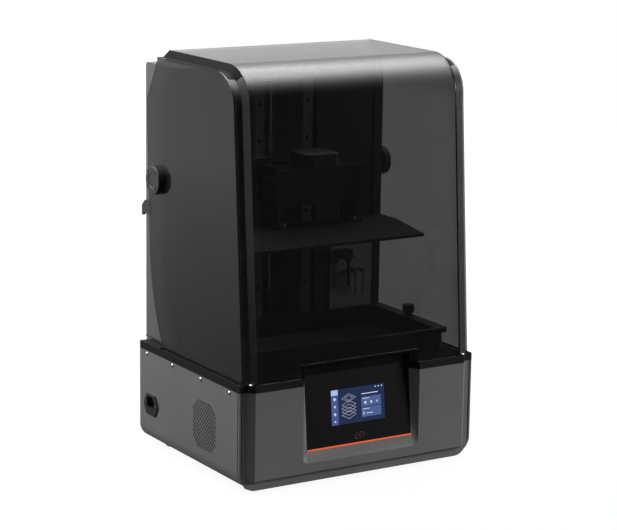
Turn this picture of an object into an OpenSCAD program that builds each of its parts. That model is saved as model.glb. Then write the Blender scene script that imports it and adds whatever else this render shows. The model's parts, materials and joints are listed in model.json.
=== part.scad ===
/* [Base] */
// Width over the side sheets of the base
base_w = 400; // [396:1:404]
// Front plane of the bezel flange, measured from the middle
base_front = -160; // [-161:0.5:-159]
// Rear face of the base, measured from the middle
base_rear = 142.5; // [141:0.5:144]
// Height of the deck above the floor
deck_z = 161; // [160:0.5:162]
// Height of the feet
foot_h = 8; // [6:1:9]
// Height of the dark band round the edge of the deck
band_h = 11; // [9:1:12]
// Radius of the folded lower edges of the side sheet
fold_r = 24; // [20:1:28]
// Thickness of the folded side sheet
sheet_t = 2; // [1.5:0.5:2.5]
// How far the crown of the front stands proud of its flange
crown_out = 9.5; // [7:0.5:9.5]

/* [Screen] */
// Width of the black screen panel
panel_w = 180; // [176:1:184]
// Length of the screen panel up its slope
panel_len = 100; // [98:1:100]
// Backward lean of the screen panel in degrees
panel_lean = 5.9; // [5:0.1:6.5]
// Width of the recess at its mouth
mouth_w = 200; // [196:1:204]
// Width of the lit display
display_w = 92; // [88:1:96]
// Height of the lit display
display_h = 51.5; // [50:0.5:54]

/* [Hood] */
// Height of the top of the hood above the floor
hood_top = 605; // [603:1:606]
// Radius of the bend between the front and the top of the hood
hood_bend = 58; // [54:1:62]
// Backward lean of the hood front in degrees
hood_lean = 4.24; // [4:0.1:4.5]
// Width over the side panels of the hood
hood_w = 388; // [386:1:389]
// Thickness of the tinted sheets
tint_t = 3; // [2:0.5:3]
// How far the crown of the hood stands proud of its side ledges
ledge_in = 10; // [8:0.5:11]

/* [Hinge] */
// Distance of the hood hinge behind the middle
hinge_y = 94; // [92:0.5:95]
// Height of the hood hinge above the floor
hinge_z = 414.5; // [412:0.5:416]
// Radius of the hinge pins
hinge_r = 8; // [6:0.5:9]

/* [Axis] */
// Distance between the two linear rails
rail_pitch = 84; // [82:1:86]
// Width of a linear rail
rail_w = 16; // [15:0.5:17]
// Radius of the lead screw
screw_r = 5; // [4:0.5:6]
// Distance of the lead screw behind the middle
screw_y = 95; // [94:0.5:96]

/* [Platform and vat] */
// Width of the build plate
plate_w = 296; // [290:1:298]
// Depth of the build plate
plate_d = 146; // [140:1:147]
// Underside of the raised build plate above the floor
plate_z = 333; // [328:1:336]
// Width of the vat rim
vat_w = 360; // [356:1:364]
// Depth of the vat rim
vat_d = 188; // [186:1:190]

/* [Hidden] */
$fn = 48;
eps = 0.01;
run_gap = 0.05;
fit_gap = 0.1;
clear_gap = 0.4;

// Base
half_w = base_w / 2;
band_z = deck_z - band_h;
bezel_t = 3;
seam_w = 2;
flange_in = 5;
rim_w = 2.8;
flange_low = 4;
flange_r = 22;
crown_front = base_front - crown_out;
crown_half = half_w - 12;
crown_face_half = crown_half - 9;
crown_low = foot_h + 6;
crown_face_low = crown_low + 7;
deck_t = 3;
gutter_z = deck_z - 2;
screw_z = deck_z - 16;
deck_screw_x = 182.6;
deck_screw_y = base_front - 0.9;
side_screw_ys = [119.5, 39.1, -47.7, -131.6];
rear_screw_zs = [40, 120];
foot_places = [[-163, 104], [163, 104], [-165, -136], [165, -136]];

// Screen
panel_y = crown_front + 4.5;
panel_z = 50.5;
panel_t = 3;
mouth_z = 34.5;
notch_y = panel_y + (band_z - panel_z) * tan(panel_lean);
display_mid = 57.6;
button_mid = 12.5;
button_w = 16.5;
button_h = 9.7;

// Left side
socket_y = 104.2;
socket_z = 68.8;
socket_ear = 17.2;
fan_y = -59;
fan_z = 77;
fan_w = 80;
fan_t = 25;
vent_pitch = 6.9;
vent_step = 3.2;
vent_hole_r = 1.7;

// Tower
tower_half = 179;
tower_front = 64;
spout_front = tower_front - 3;
tower_rear = 162;
tower_top = 581;
tower_bend = 5;
cover_t = 1.5;
post_in = 28;
post_out = 58;
post_front = 70;
post_rear = 108;
rail_low = 170;
rail_top = 575;
rail_h = 10;
rail_hole_zs = [186:56:522];

// Carriage and platform
plate_y = -30;
level_xs = [-61, 61];
block_h = 60;
block_z = 382;
arm_half = 60;
arm_z = 388;
arm_top = 438;
slab_half = 78;
slab_y = -52;
knob_y = -29;

// Vat and print window
vat_y = -34;
vat_top = 195;
vat_low = 170;
film_z = 165.5;
vat_screw_x = 170;
mask_top = 165;

// Hood
bend_y = -80;
bend_z = hood_top - hood_bend;
hood_low = deck_z - 1.1;
grip_low = deck_z + 0.6;
sheet_half = 173.4;
slope_half = 180.5;
notch_top = 180;

// Extrudes an outline drawn in (Y, Z) along X
module along_x(x0, x1) {
    translate([x0, 0, 0]) rotate([90, 0, 90]) linear_extrude(x1 - x0) children();
}

// Extrudes an outline drawn in (X, Z) along Y
module along_y(y0, y1) {
    translate([0, y1, 0]) rotate([90, 0, 0]) linear_extrude(y1 - y0) children();
}

// Box from its lowest to its highest corner
module block(low, high) {
    translate(low) cube(high - low);
}

// Copies its children to the other side
module both_sides() {
    children();
    mirror([1, 0, 0]) children();
}

// Rod along X from x0 to x1
module rod_x(r, x0, x1, y, z) {
    translate([x0, y, z]) rotate([0, 90, 0]) cylinder(r = r, h = x1 - x0);
}

// Rod along Z from z0 to z1
module rod_z(r, z0, z1, x, y) {
    translate([x, y, z0]) cylinder(r = r, h = z1 - z0);
}

// Rectangle with round corners about the middle
module round_rect(w, h, r) {
    square([w, h - 2 * r], center = true);
    square([w - 2 * r, h], center = true);
    for (sx = [-1, 1], sy = [-1, 1])
        translate([sx * (w / 2 - r), sy * (h / 2 - r)]) circle(r);
}

// Level slot with round ends about the middle
module slot(w, h) {
    square([w - h, h], center = true);
    for (side = [-1, 1]) translate([side * (w - h) / 2, 0]) circle(h / 2, $fn = 24);
}

// Upright outline with square top and round lower corners
module trough(half, low, high, r) {
    translate([-half, low + r]) square([2 * half, high - low - r]);
    translate([-half + r, low]) square([2 * (half - r), r]);
    for (side = [-1, 1]) translate([side * (half - r), low + r]) circle(r);
}

// Point of a quadratic curve through p0 and p2, drawn towards p1
function curve(p0, p1, p2, t) =
    p0 * (1 - t) * (1 - t) + p1 * 2 * t * (1 - t) + p2 * t * t;

// Places its children in the frame of the leaning screen panel
module on_panel() {
    translate([0, panel_y, panel_z]) rotate([-panel_lean, 0, 0]) children();
}

// Small holes of the side vent, in staggered columns that fill an octagon
module vent_pattern() {
    for (col = [-10:10], row = [-5:5]) {
        step = row + (col % 2 == 0 ? 0 : 0.5);
        if (abs(step) <= 5 && abs(col) + 2 * abs(step) <= 16)
            translate([fan_y + col * vent_step, fan_z + 0.6 + step * vent_pitch]) circle(r = vent_hole_r, $fn = 16);
    }
}

// Cut-out of the side sheet for the power inlet
module socket_cut() {
    translate([socket_y, socket_z]) square([25.6, 28.4], center = true);
    for (side = [-1, 1]) translate([socket_y + side * socket_ear, socket_z]) circle(1.4);
}

// Places of the four fan studs, with a circle at each
module fan_holes(r) {
    for (sy = [-1, 1], sz = [-1, 1])
        translate([fan_y + sy * 35.75, fan_z + sz * 35.75]) circle(r);
}

// Folded sheet that forms both sides and the floor of the base
module base_shell() {
    back = base_rear - sheet_t;
    color("#4b4d50") difference() {
        union() {
            along_y(base_front + bezel_t + seam_w, back) difference() {
                trough(half_w, foot_h, band_z, fold_r);
                trough(half_w - sheet_t, foot_h + sheet_t, band_z + 1, fold_r - sheet_t);
            }
            both_sides() for (z = rear_screw_zs) block([176, back - 3, z - 8], [half_w - 1, back, z + 8]);
            along_x(-half_w + 1, -half_w + sheet_t + fan_t + 5) fan_holes(1.9);
        }
        for (side = [-1, 1], z = rear_screw_zs) translate([side * 185, back + 1, z]) rotate([90, 0, 0]) {
            cylinder(r = 1.6, h = 6);
        }
        along_x(-half_w - 1, -half_w + sheet_t + 1) {
            vent_pattern();
            socket_cut();
        }
        for (y = side_screw_ys) rod_x(1.6, -half_w - 1, half_w + 1, y, screw_z);
    }
}

// Flat sheet that closes the back of the base
module rear_panel() {
    color("#4b4d50") along_y(base_rear - sheet_t, base_rear) difference() {
        trough(half_w, foot_h, band_z, fold_r);
        for (side = [-1, 1], z = rear_screw_zs) translate([side * 185, z]) circle(1.6);
        for (row = [0:4], col = [-5:5]) translate([col * 14 + 80, 60 + row * 8]) slot(10, 3);
    }
}

// Screws of the rear panel
module rear_screws() {
    color("#2a2a2c") for (side = [-1, 1], z = rear_screw_zs) translate([side * 185, base_rear, z]) {
        rotate([90, 0, 0]) cylinder(r = 1.5, h = sheet_t + 4);
        rotate([-90, 0, 0]) cylinder(r1 = 3.2, r2 = 1.8, h = 1.6);
    }
}

// Raised middle of the base front, drawn inset by i
module crown_solid(i, back) {
    intersection() {
        along_y(crown_front + i, back) trough(crown_half - i, crown_low + i, band_z, 20 - i);
        linear_extrude(band_z) polygon([
            [-crown_half + i, back], [-crown_half + i, base_front + i / 2],
            [-crown_face_half + i / 2, crown_front + i], [crown_face_half - i / 2, crown_front + i],
            [crown_half - i, base_front + i / 2], [crown_half - i, back]
        ]);
        along_x(-half_w, half_w) polygon([
            [back, crown_low + i], [base_front + i / 2, crown_low + i],
            [crown_front + i, crown_face_low + i / 2], [crown_front + i, band_z], [back, band_z]
        ]);
    }
}

// Funnel from the mouth of the recess to the screen panel, grown by g
module recess_solid(g, front, depth) {
    hull() {
        along_y(front, front + 1) trough(mouth_w / 2 + g, mouth_z - g, band_z + g + 1, 10 + g, $fn = 32);
        on_panel() block(
            [-panel_w / 2 - g, depth - 0.1, -g],
            [panel_w / 2 + g, depth, panel_len + g + 1]
        );
    }
}

// Flat rim round the crown, with a groove along its outer edge and a lip inside the side sheet
module bezel_rim() {
    lip = half_w - sheet_t;
    lip_low = foot_h + sheet_t;
    lip_r = fold_r - sheet_t;
    along_y(base_front, base_front + bezel_t) trough(half_w - flange_in, flange_low, band_z, flange_r);
    difference() {
        along_y(base_front, base_front + bezel_t) trough(half_w, foot_h, band_z, fold_r);
        along_y(base_front - 1, base_front + 1.8)
            trough(half_w - rim_w, foot_h + rim_w, band_z + 1, fold_r - rim_w);
    }
    along_y(base_front + bezel_t - eps, base_front + bezel_t + 8) difference() {
        trough(lip, lip_low, band_z, lip_r);
        trough(lip - 2, lip_low + 2, band_z + 1, lip_r - 2);
    }
}

// Front of the base with its crown, chin and leaning screen recess
module front_bezel() {
    color("#4b4d50") difference() {
        union() {
            difference() {
                union() {
                    bezel_rim();
                    crown_solid(0, base_front + bezel_t);
                }
                crown_solid(bezel_t, base_front + bezel_t + 1);
            }
            intersection() {
                recess_solid(bezel_t, crown_front, 6);
                block([-half_w, crown_front, foot_h], [half_w, base_rear, band_z]);
            }
        }
        recess_solid(0, crown_front - 1, 0);
        on_panel() block([-panel_w / 2, -0.2, 0], [panel_w / 2, panel_t, panel_len + 3]);
        on_panel() block([-62, panel_t - 1, 4], [62, 12, 92]);
    }
}

// Outline of the deck edge, inset by i, with the notch over the screen
function deck_outline(i) = [
    [-half_w + i, base_rear - i], [half_w - i, base_rear - i], [half_w - i, base_front + i],
    [crown_half - i / 2, base_front + i], [crown_face_half - i / 2, crown_front + i],
    [mouth_w / 2 + i, crown_front + i], [panel_w / 2 + 1 + i, notch_y + i],
    [-panel_w / 2 - 1 - i, notch_y + i], [-mouth_w / 2 - i, crown_front + i],
    [-crown_face_half + i / 2, crown_front + i], [-crown_half + i / 2, base_front + i],
    [-half_w + i, base_front + i]
];

// Rectangle of the print window in plan
module window_outline(w, d) {
    translate([0, plate_y]) square([w, d], center = true);
}

// Plan of the shallow gutter in the deck that the foot of the hood dips into
module gutter_plan() {
    difference() {
        intersection() {
            polygon(deck_outline(1));
            translate([-half_w, crown_front]) square([2 * half_w, 84 - crown_front]);
        }
        polygon([
            [-188, 90], [188, 90], [188, -151], [174, -151],
            [162, -158], [-162, -158], [-174, -151], [-188, -151]
        ]);
        for (side = [-1, 1]) translate([side * deck_screw_x, deck_screw_y]) circle(3.4);
    }
}

// Top of the base with its edge band, the gutter and the flanges that the side screws hold
module deck_plate() {
    color("#222326") difference() {
        union() {
            difference() {
                translate([0, 0, band_z]) linear_extrude(band_h) polygon(deck_outline(0));
                translate([0, 0, band_z - 1]) linear_extrude(band_h - deck_t + 1) polygon(deck_outline(3));
            }
            both_sides() block(
                [half_w - sheet_t - 3, base_front + 14, screw_z - 8],
                [half_w - sheet_t, base_rear - 10, deck_z - deck_t + eps]
            );
        }
        translate([0, 0, band_z]) linear_extrude(band_h + 1) window_outline(304, 156);
        translate([0, 0, gutter_z]) linear_extrude(3) gutter_plan();
        rod_z(12, band_z, deck_z + 1, 0, screw_y);
        for (side = [-1, 1]) rod_z(3.4, band_z, deck_z + 1, side * vat_screw_x, vat_y);
        for (side = [-1, 1]) rod_z(1.6, band_z, deck_z + 1, side * deck_screw_x, deck_screw_y);
        for (y = side_screw_ys) rod_x(1.6, -half_w, half_w, y, screw_z);
    }
}

// Soft seal on the floor of the gutter, under the foot of the hood
module deck_seal() {
    color("#0c0c0d") translate([0, 0, gutter_z]) linear_extrude(0.5) difference() {
        polygon([
            [-194, 78], [-194, -155], [-181, -164], [181, -164], [194, -155], [194, 78],
            [189, 78], [189, -151], [179, -158.5], [-179, -158.5], [-189, -151], [-189, 78]
        ]);
        translate([-mouth_w / 2 - 4, -170]) square([mouth_w + 8, 30]);
        for (side = [-1, 1]) translate([side * deck_screw_x, deck_screw_y]) circle(3.6);
    }
}

// Domed screws along both sides
module side_screws() {
    color("#9a9b9d") both_sides() for (y = side_screw_ys) {
        rod_x(1.5, half_w - sheet_t - 6, half_w, y, screw_z);
        translate([half_w, y, screw_z]) rotate([0, 90, 0]) cylinder(r1 = 3.1, r2 = 1.9, h = 1.5);
    }
}

// Screws at the front corners of the deck
module deck_screws() {
    color("#c9cacc") both_sides() {
        rod_z(1.5, deck_z - 8, deck_z + eps, deck_screw_x, deck_screw_y);
        translate([deck_screw_x, deck_screw_y, deck_z]) cylinder(r1 = 2.9, r2 = 1.9, h = 1.4);
    }
}

// Rubber feet
module feet() {
    color("#1a1a1a") for (place = foot_places) translate([place[0], place[1], 0])
        rotate_extrude() polygon([[0, 0], [10, 0], [11.5, 1.5], [11.5, foot_h], [0, foot_h]]);
}

// Black panel round the display
module screen_panel() {
    color("#101114") on_panel() difference() {
        block([-panel_w / 2 + 0.2, 0, 0.2], [panel_w / 2 - 0.2, panel_t, panel_len - 0.2]);
        block(
            [-display_w / 2 - 0.3, -1, display_mid - display_h / 2 - 0.3],
            [display_w / 2 + 0.3, panel_t + 1, display_mid + display_h / 2 + 0.3]
        );
        translate([0, panel_t + 1, button_mid]) rotate([90, 0, 0]) linear_extrude(panel_t + 2)
            round_rect(button_w + 2 * clear_gap, button_h + 2 * clear_gap, button_h / 2 + clear_gap - eps);
    }
}

// Display module behind the screen panel
module touch_screen() {
    color("#27356b") on_panel() {
        block(
            [-display_w / 2, 0.2, display_mid - display_h / 2],
            [display_w / 2, panel_t + eps, display_mid + display_h / 2]
        );
        block([-54, panel_t, 26], [54, panel_t + 6, 90]);
    }
}

// Bright line along the foot of the screen panel
module accent_strip() {
    color("#e8623a") on_panel() block([-panel_w / 2 + 0.4, -1.2, 0.4], [panel_w / 2 - 0.4, -0.05, 2.4]);
}

// Oval push button under the display
module power_button() {
    color("#141416") on_panel() translate([0, 0, button_mid]) {
        translate([0, panel_t + 1, 0]) rotate([90, 0, 0]) linear_extrude(panel_t + 1.3)
            round_rect(button_w, button_h, button_h / 2 - eps);
        translate([0, panel_t + 1.9, 0]) rotate([90, 0, 0]) linear_extrude(1.5)
            round_rect(button_w + 4, button_h + 4, button_h / 2 + 2 - eps);
    }
}

// Outline of the power inlet with its pointed screw ears
module socket_outline() {
    translate([socket_y, socket_z]) polygon([
        [12.6, 15.8], [21, 2.5], [21, -2.5], [12.6, -15.8],
        [-12.6, -15.8], [-21, -2.5], [-21, 2.5], [-12.6, 15.8]
    ]);
}

// Moulded power inlet with a drawer slot for the fuse
module power_socket() {
    color("#151516") difference() {
        union() {
            along_x(-half_w - 2.5, -half_w) difference() {
                socket_outline();
                for (side = [-1, 1]) translate([socket_y + side * socket_ear, socket_z]) circle(1.4);
            }
            along_x(-half_w - eps, -half_w + 28) translate([socket_y, socket_z]) square([25.2, 28], center = true);
        }
        along_x(-half_w - 4, -half_w + 16) translate([socket_y, socket_z + 4.6]) polygon([
            [-11.4, -8.2], [11.4, -8.2], [11.4, 4.2], [7.4, 8.2], [-7.4, 8.2], [-11.4, 4.2]
        ]);
        along_x(-half_w - 4, -half_w + 20) translate([socket_y, socket_z - 9.1]) square([22.8, 7.8], center = true);
    }
}

// Three flat contacts of the inlet
module socket_pins() {
    color("#c9c9c4") for (p = [[-7, 3], [7, 3], [0, 7.5]])
        block(
            [-half_w + 3, socket_y + p[0] - 2, socket_z + p[1] - 1],
            [-half_w + 16, socket_y + p[0] + 2, socket_z + p[1] + 1]
        );
}

// Drawer that holds the fuse under the inlet
module fuse_drawer() {
    color("#202022") {
        difference() {
            block(
                [-half_w - 2.4, socket_y - 11, socket_z - 12.6],
                [-half_w + 19, socket_y + 11, socket_z - 5.6]
            );
            block(
                [-half_w + 2, socket_y - 9, socket_z - 11.1],
                [-half_w + 16, socket_y + 9, socket_z - 5]
            );
        }
        block([-half_w - 3.4, socket_y - 4, socket_z - 7.7], [-half_w - 2.4, socket_y + 4, socket_z - 6.2]);
    }
}

// Two screws through the ears of the inlet
module socket_screws() {
    color("#1c1c1e") for (side = [-1, 1]) {
        rod_x(1.3, -half_w - 2.5, -half_w + 6, socket_y + side * socket_ear, socket_z);
        translate([-half_w - 2.5, socket_y + side * socket_ear, socket_z]) rotate([0, -90, 0]) cylinder(r1 = 2.1, r2 = 1.4, h = 0.8);
    }
}

// Nuts that hold the fan on the studs of the side sheet
module fan_nuts() {
    x0 = -half_w + sheet_t + fan_t;
    color("#b0b2b4") along_x(x0, x0 + 3.2) difference() {
        for (sy = [-1, 1], sz = [-1, 1])
            translate([fan_y + sy * 35.75, fan_z + sz * 35.75]) circle(4, $fn = 6);
        fan_holes(2);
    }
}

// Square fan frame behind the vent, with its motor hub and struts
module fan_housing() {
    x0 = -half_w + sheet_t;
    color("#1b1b1d") {
        along_x(x0, x0 + fan_t) difference() {
            translate([fan_y, fan_z]) round_rect(fan_w, fan_w, 4);
            translate([fan_y, fan_z]) circle(38);
            fan_holes(2.1);
        }
        along_x(x0 + fan_t - 3, x0 + fan_t) translate([fan_y, fan_z]) difference() {
            union() {
                circle(17);
                for (turn = [45:90:315]) rotate(turn) translate([16, -2]) square([23, 4]);
            }
            circle(1.5 + run_gap);
        }
    }
}

// Bladed rotor of the side fan
module fan_rotor() {
    x0 = -half_w + sheet_t;
    color("#26262a") translate([x0 + 3, fan_y, fan_z]) rotate([0, 90, 0]) {
        cylinder(r = 16, h = 17.5);
        cylinder(r = 1.5, h = 21);
        intersection() {
            difference() {
                cylinder(r = 36.5, h = 17.5);
                translate([0, 0, -1]) cylinder(r = 14, h = 20);
            }
            for (turn = [0:360 / 7:359]) rotate(turn) translate([14, -1, 9]) rotate([38, 0, 0])
                translate([0, -0.9, -14]) cube([24, 1.8, 28]);
        }
    }
}

// Closed metal case of the power supply
module power_supply() {
    floor_z = foot_h + sheet_t;
    color("#b5b7b9") {
        difference() {
            block([-160, 20, floor_z], [-62, 130, floor_z + 42]);
            for (row = [0:5]) block([-150, 32 + row * 15, floor_z + 40], [-90, 38 + row * 15, floor_z + 43]);
            block([-80, 120, floor_z + 20], [-61, 131, floor_z + 43]);
        }
        block([-78, 121, floor_z + 18], [-64, 129, floor_z + 30]);
    }
}

// Control board on four posts
module main_board() {
    floor_z = foot_h + sheet_t;
    color("#1d5a3a") {
        block([60, 20, floor_z + 12], [165, 120, floor_z + 13.6]);
        for (x = [66, 159], y = [26, 114]) rod_z(3, floor_z, floor_z + 12, x, y);
        block([95, 55, floor_z + 13.6], [120, 80, floor_z + 16]);
        for (n = [0:3]) block([68 + n * 22, 22, floor_z + 13.6], [82 + n * 22, 32, floor_z + 24]);
        for (n = [0:2]) rod_z(5, floor_z + 13.6, floor_z + 26, 135 + 11 * (n % 2), 70 + 14 * n);
    }
}

// Dark duct between the light source and the print window
module light_tunnel() {
    color("#242527") difference() {
        translate([0, 0, 56]) linear_extrude(deck_z - deck_t - 56) window_outline(316, 168);
        translate([0, 0, 59]) linear_extrude(deck_z) window_outline(312, 164);
        translate([0, 0, 50]) linear_extrude(20) window_outline(200, 100);
    }
}

// Flat lens that straightens the light, on two rails inside the duct
module lens() {
    color("#dfe7ea") {
        translate([0, 0, 142]) linear_extrude(3) window_outline(312, 164);
        for (side = [-1, 1]) block(
            [side * 152 - 3.5, plate_y - 81, 138],
            [side * 152 + 3.5, plate_y + 81, 142 + eps]
        );
    }
}

// Lamp plate with its lens array and cooling fins
module light_source() {
    color("#a9abad") {
        block([-99, plate_y - 49, 58], [99, plate_y + 49, 64]);
        for (n = [0:10]) block([-99 + n * 19.5, plate_y - 49, 30], [-96 + n * 19.5, plate_y + 49, 58 + eps]);
        for (row = [-2:2], col = [-4:4]) rod_z(6, 64 - eps, 68, col * 20, plate_y + row * 18);
        for (x = [-96, 96], y = [-44, 44]) rod_z(3, foot_h + sheet_t, 31, x, plate_y + y);
    }
}

// Glass mask screen let into the deck
module mask_screen() {
    color("#0b0c10") difference() {
        translate([0, 0, deck_z]) linear_extrude(mask_top - deck_z) translate([0, plate_y]) round_rect(318, 166, 4);
        translate([0, 0, mask_top - 0.4]) linear_extrude(1) window_outline(302, 152);
    }
}

// Stepper motor that hangs under the deck
module z_motor() {
    color("#1f2022") difference() {
        union() {
            intersection() {
                block([-21, screw_y - 21, deck_z - 51], [21, screw_y + 21, deck_z - deck_t]);
                translate([0, screw_y, deck_z - 60]) rotate(45) cube([54, 54, 140], center = true);
            }
            rod_z(11, deck_z - deck_t - eps, deck_z - 1, 0, screw_y);
        }
        rod_z(4 + run_gap, deck_z - 26, deck_z, 0, screw_y);
    }
}

// Motor shaft with the slit coupling that grips the screw
module motor_coupling() {
    color("#c4c6c8") {
        rod_z(4, deck_z - 25, deck_z + 6, 0, screw_y);
        difference() {
            rod_z(9.5, deck_z + 4, deck_z + 28, 0, screw_y);
            rod_z(screw_r, deck_z + 14, deck_z + 30, 0, screw_y);
            for (n = [0:2]) translate([n % 2 == 0 ? 2 : -12, screw_y - 10, deck_z + 8 + n * 4]) cube([10, 20, 1]);
        }
    }
}

// Lead screw
module lead_screw() {
    color("#b9bbbd") rod_z(screw_r, deck_z + 14, rail_top - 3, 0, screw_y);
}

// Bearing blocks at both ends of the screw
module screw_bearings() {
    color("#4a4b4d") difference() {
        union() {
            block([-14, 80, 192], [14, post_rear, 230]);
            block([-14, 80, rail_top - 13], [14, post_rear, rail_top - eps]);
        }
        rod_z(screw_r + run_gap, 190, rail_top + 1, 0, screw_y);
    }
}

// Upright frame: two channel posts, a back plate, a foot and gussets
module tower_frame() {
    color("#3a3b3e") difference() {
        union() {
            both_sides() {
                block([post_in, post_front, deck_z], [post_out, post_front + 4, rail_top]);
                block([post_in, post_front, deck_z], [post_in + 4, post_rear, rail_top]);
                along_x(100, 104) polygon([
                    [post_rear, deck_z + 4], [150, deck_z + 4], [150, deck_z + 12], [post_rear + 8, deck_z + 110],
                    [post_rear, deck_z + 110]
                ]);
                block([post_out - eps, post_rear, deck_z], [104, post_rear + 4, deck_z + 110]);
                block([post_out - eps, 88, hinge_z - 10], [tower_half - 5.5, 100, hinge_z + 10]);
                block([post_out - 6, 88, hinge_z - 10], [post_out, post_rear + 1, hinge_z + 10]);
            }
            block([-post_out, post_rear, deck_z], [post_out, post_rear + 4, rail_top]);
            block([-150, post_front, deck_z], [150, 150, deck_z + 5]);
            block([-post_out, post_front, rail_top - eps], [post_out, post_rear + 4, rail_top + 4]);
        }
        rod_z(12, deck_z - 1, deck_z + 6, 0, screw_y);
        for (z = [240:60:540]) translate([0, post_rear - 1, z]) rotate([-90, 0, 0]) cylinder(r = 9, h = 6);
    }
}

// Side outline of the tower cover, inset by i
module cover_outline(i) {
    polygon([
        [tower_front, deck_z - 1], [tower_rear - i, deck_z - 1], [tower_rear - i, tower_top - tower_bend],
        [tower_rear - tower_bend, tower_top - i], [tower_front, tower_top - i]
    ]);
    translate([tower_rear - tower_bend, tower_top - tower_bend]) circle(tower_bend - i);
}

// Light sheet cover over the back, sides and top of the tower
module tower_cover() {
    color("#8b8d90") difference() {
        along_x(-tower_half, tower_half) cover_outline(0);
        along_x(-tower_half + cover_t, tower_half - cover_t) translate([-eps, 0]) cover_outline(cover_t);
        block([-half_w, tower_front - 2, deck_z - 3], [half_w, tower_rear + 2, deck_z]);
        for (side = [-1, 1]) rod_x(hinge_r + fit_gap, side * tower_half - 3, side * tower_half + 3, hinge_y, hinge_z);
    }
}

// Dark frame round the open front of the tower
module tower_trim() {
    color("#18191b") along_y(tower_front - 2, tower_front) difference() {
        translate([-tower_half, deck_z]) square([2 * tower_half, tower_top - deck_z]);
        translate([-164, deck_z - 1]) square([328, rail_top - deck_z]);
    }
}

// Dark sheets beside the rails and the light panel low on the right
module tower_panels() {
    color("#1d1e20") {
        both_sides() block([post_out + 4, tower_front, deck_z], [165, tower_front + 1.5, tower_top - 14]);
        both_sides() block([post_out + 4, tower_front + 1.5 - eps, deck_z + 5], [post_out + 6, 86, tower_top - 14]);
    }
    color("#9a9ca0") block([87, spout_front, deck_z], [163, tower_front, 300]);
}

// Spout that fills the vat from behind
module refill_spout() {
    y = 49;
    color("#17181a") difference() {
        union() {
            block([98, y - 5, 275], [118, spout_front, 288]);
            rod_z(5, 270, 276, 113, y + 1);
            rod_z(2.6, 230, 288, 113, y);
        }
        rod_z(1.4, 229, 283, 113, y);
    }
}

// Two level probes over the back edge of the vat
module level_probes() {
    color("#c8cacc") for (x = [126, 140]) {
        rod_z(1.6, 218, 256, x, 49);
        block([x - 2, 47.4, 250], [x + 2, spout_front, 256]);
    }
}

// Two linear rails with their countersunk holes
module linear_rails() {
    color("#a4a6a8") both_sides() difference() {
        along_z_rail();
        for (z = rail_hole_zs) translate([rail_pitch / 2, post_front + 1, z]) rotate([90, 0, 0]) {
            cylinder(r = 2.2, h = rail_h + 2);
            translate([0, 0, 6]) cylinder(r = 3.8, h = 6);
        }
    }
}

// One rail with the ball grooves along its flanks
module along_z_rail() {
    translate([rail_pitch / 2, post_front, rail_low]) linear_extrude(rail_top - 2 - rail_low) polygon([
        [-rail_w / 2, 0], [rail_w / 2, 0], [rail_w / 2, -4], [rail_w / 2 - 1.5, -5.5], [rail_w / 2, -7],
        [rail_w / 2, -rail_h], [-rail_w / 2, -rail_h], [-rail_w / 2, -7], [-rail_w / 2 + 1.5, -5.5],
        [-rail_w / 2, -4]
    ]);
}

// Socket screws sunk in the rails
module rail_screws() {
    color("#2b2c2e") both_sides() for (z = rail_hole_zs)
        translate([rail_pitch / 2, post_front, z]) rotate([90, 0, 0]) difference() {
            union() {
                cylinder(r = 2, h = rail_h - 2.5);
                translate([0, 0, 5 + fit_gap]) cylinder(r = 3.5, h = 4);
            }
            translate([0, 0, 7]) cylinder(r = 1.6, h = 4, $fn = 6);
        }
}

// Pins that carry the hood, with their inner flanges
module hinge_pins() {
    color("#b4b6b8") both_sides() {
        rod_x(hinge_r, tower_half - 5.5, 197, hinge_y, hinge_z);
        rod_x(16, tower_half - cover_t - 4, tower_half - cover_t, hinge_y, hinge_z);
    }
}

// Hooked bracket at the back edge of the tower
module rear_bracket() {
    color("#1a1b1d") along_x(-tower_half - 3.5, -tower_half) polygon([
        [144, 373], [160, 373], [169.5, 364], [169.5, 349], [165, 349], [161, 354], [152, 353], [144, 353]
    ]);
}

// Four ball-bearing blocks that ride on the rails
module rail_blocks() {
    color("#cfd0d2") both_sides() for (n = [0, 1])
        translate([rail_pitch / 2, 0, block_z + n * 32]) linear_extrude(28) difference() {
            translate([-16, post_front - 16]) square([32, 12.5]);
            translate([-rail_w / 2 - clear_gap, post_front - rail_h - clear_gap]) square([rail_w + 2 * clear_gap, 14]);
        }
}

// Cantilever arm with its carriage plate and side cheeks
module arm() {
    front_y = -44;
    back_y = post_front - 16;
    color("#232427") difference() {
        union() {
            block([-arm_half, back_y - 8, block_z], [arm_half, back_y, block_z + block_h]);
            both_sides() along_x(arm_half - 8, arm_half) polygon([
                [front_y, 404], [-10, 392], [back_y - 7, block_z], [back_y - 7, arm_top], [front_y, arm_top]
            ]);
            block([-arm_half, front_y, arm_top - 10], [arm_half, back_y - 7, arm_top]);
        }
        rod_z(6 + fit_gap, arm_top - 12, arm_top + 1, 0, knob_y);
        for (x = [-30, 30]) rod_z(14, arm_top - 12, arm_top + 1, x, 22);
    }
}

// Flanged nut with the bracket that joins it to the carriage plate
module screw_nut() {
    color("#b08d4a") difference() {
        union() {
            block([-18, post_front - 16, 398], [18, screw_y, 412]);
            rod_z(11, 398, 430, 0, screw_y);
            rod_z(12, 398, 412, 0, screw_y);
        }
        rod_z(screw_r + run_gap, 390, 432, 0, screw_y);
    }
}

// Chunky ribbed clamp knob with its screw
module clamp_knob() {
    color("#1b1c1e") translate([0, knob_y, arm_top + 2.6]) {
        difference() {
            linear_extrude(20) intersection() {
                square([58, 58], center = true);
                rotate(45) square([68, 68], center = true);
            }
            for (turn = [0:90:359], n = [-3:3]) rotate(turn) translate([28, n * 5 - 1, 3]) cube([2, 2, 14]);
        }
        translate([0, 0, -2.2]) cylinder(r = 10, h = 3);
        translate([0, 0, -14]) cylinder(r = 6, h = 15);
    }
}

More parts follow.
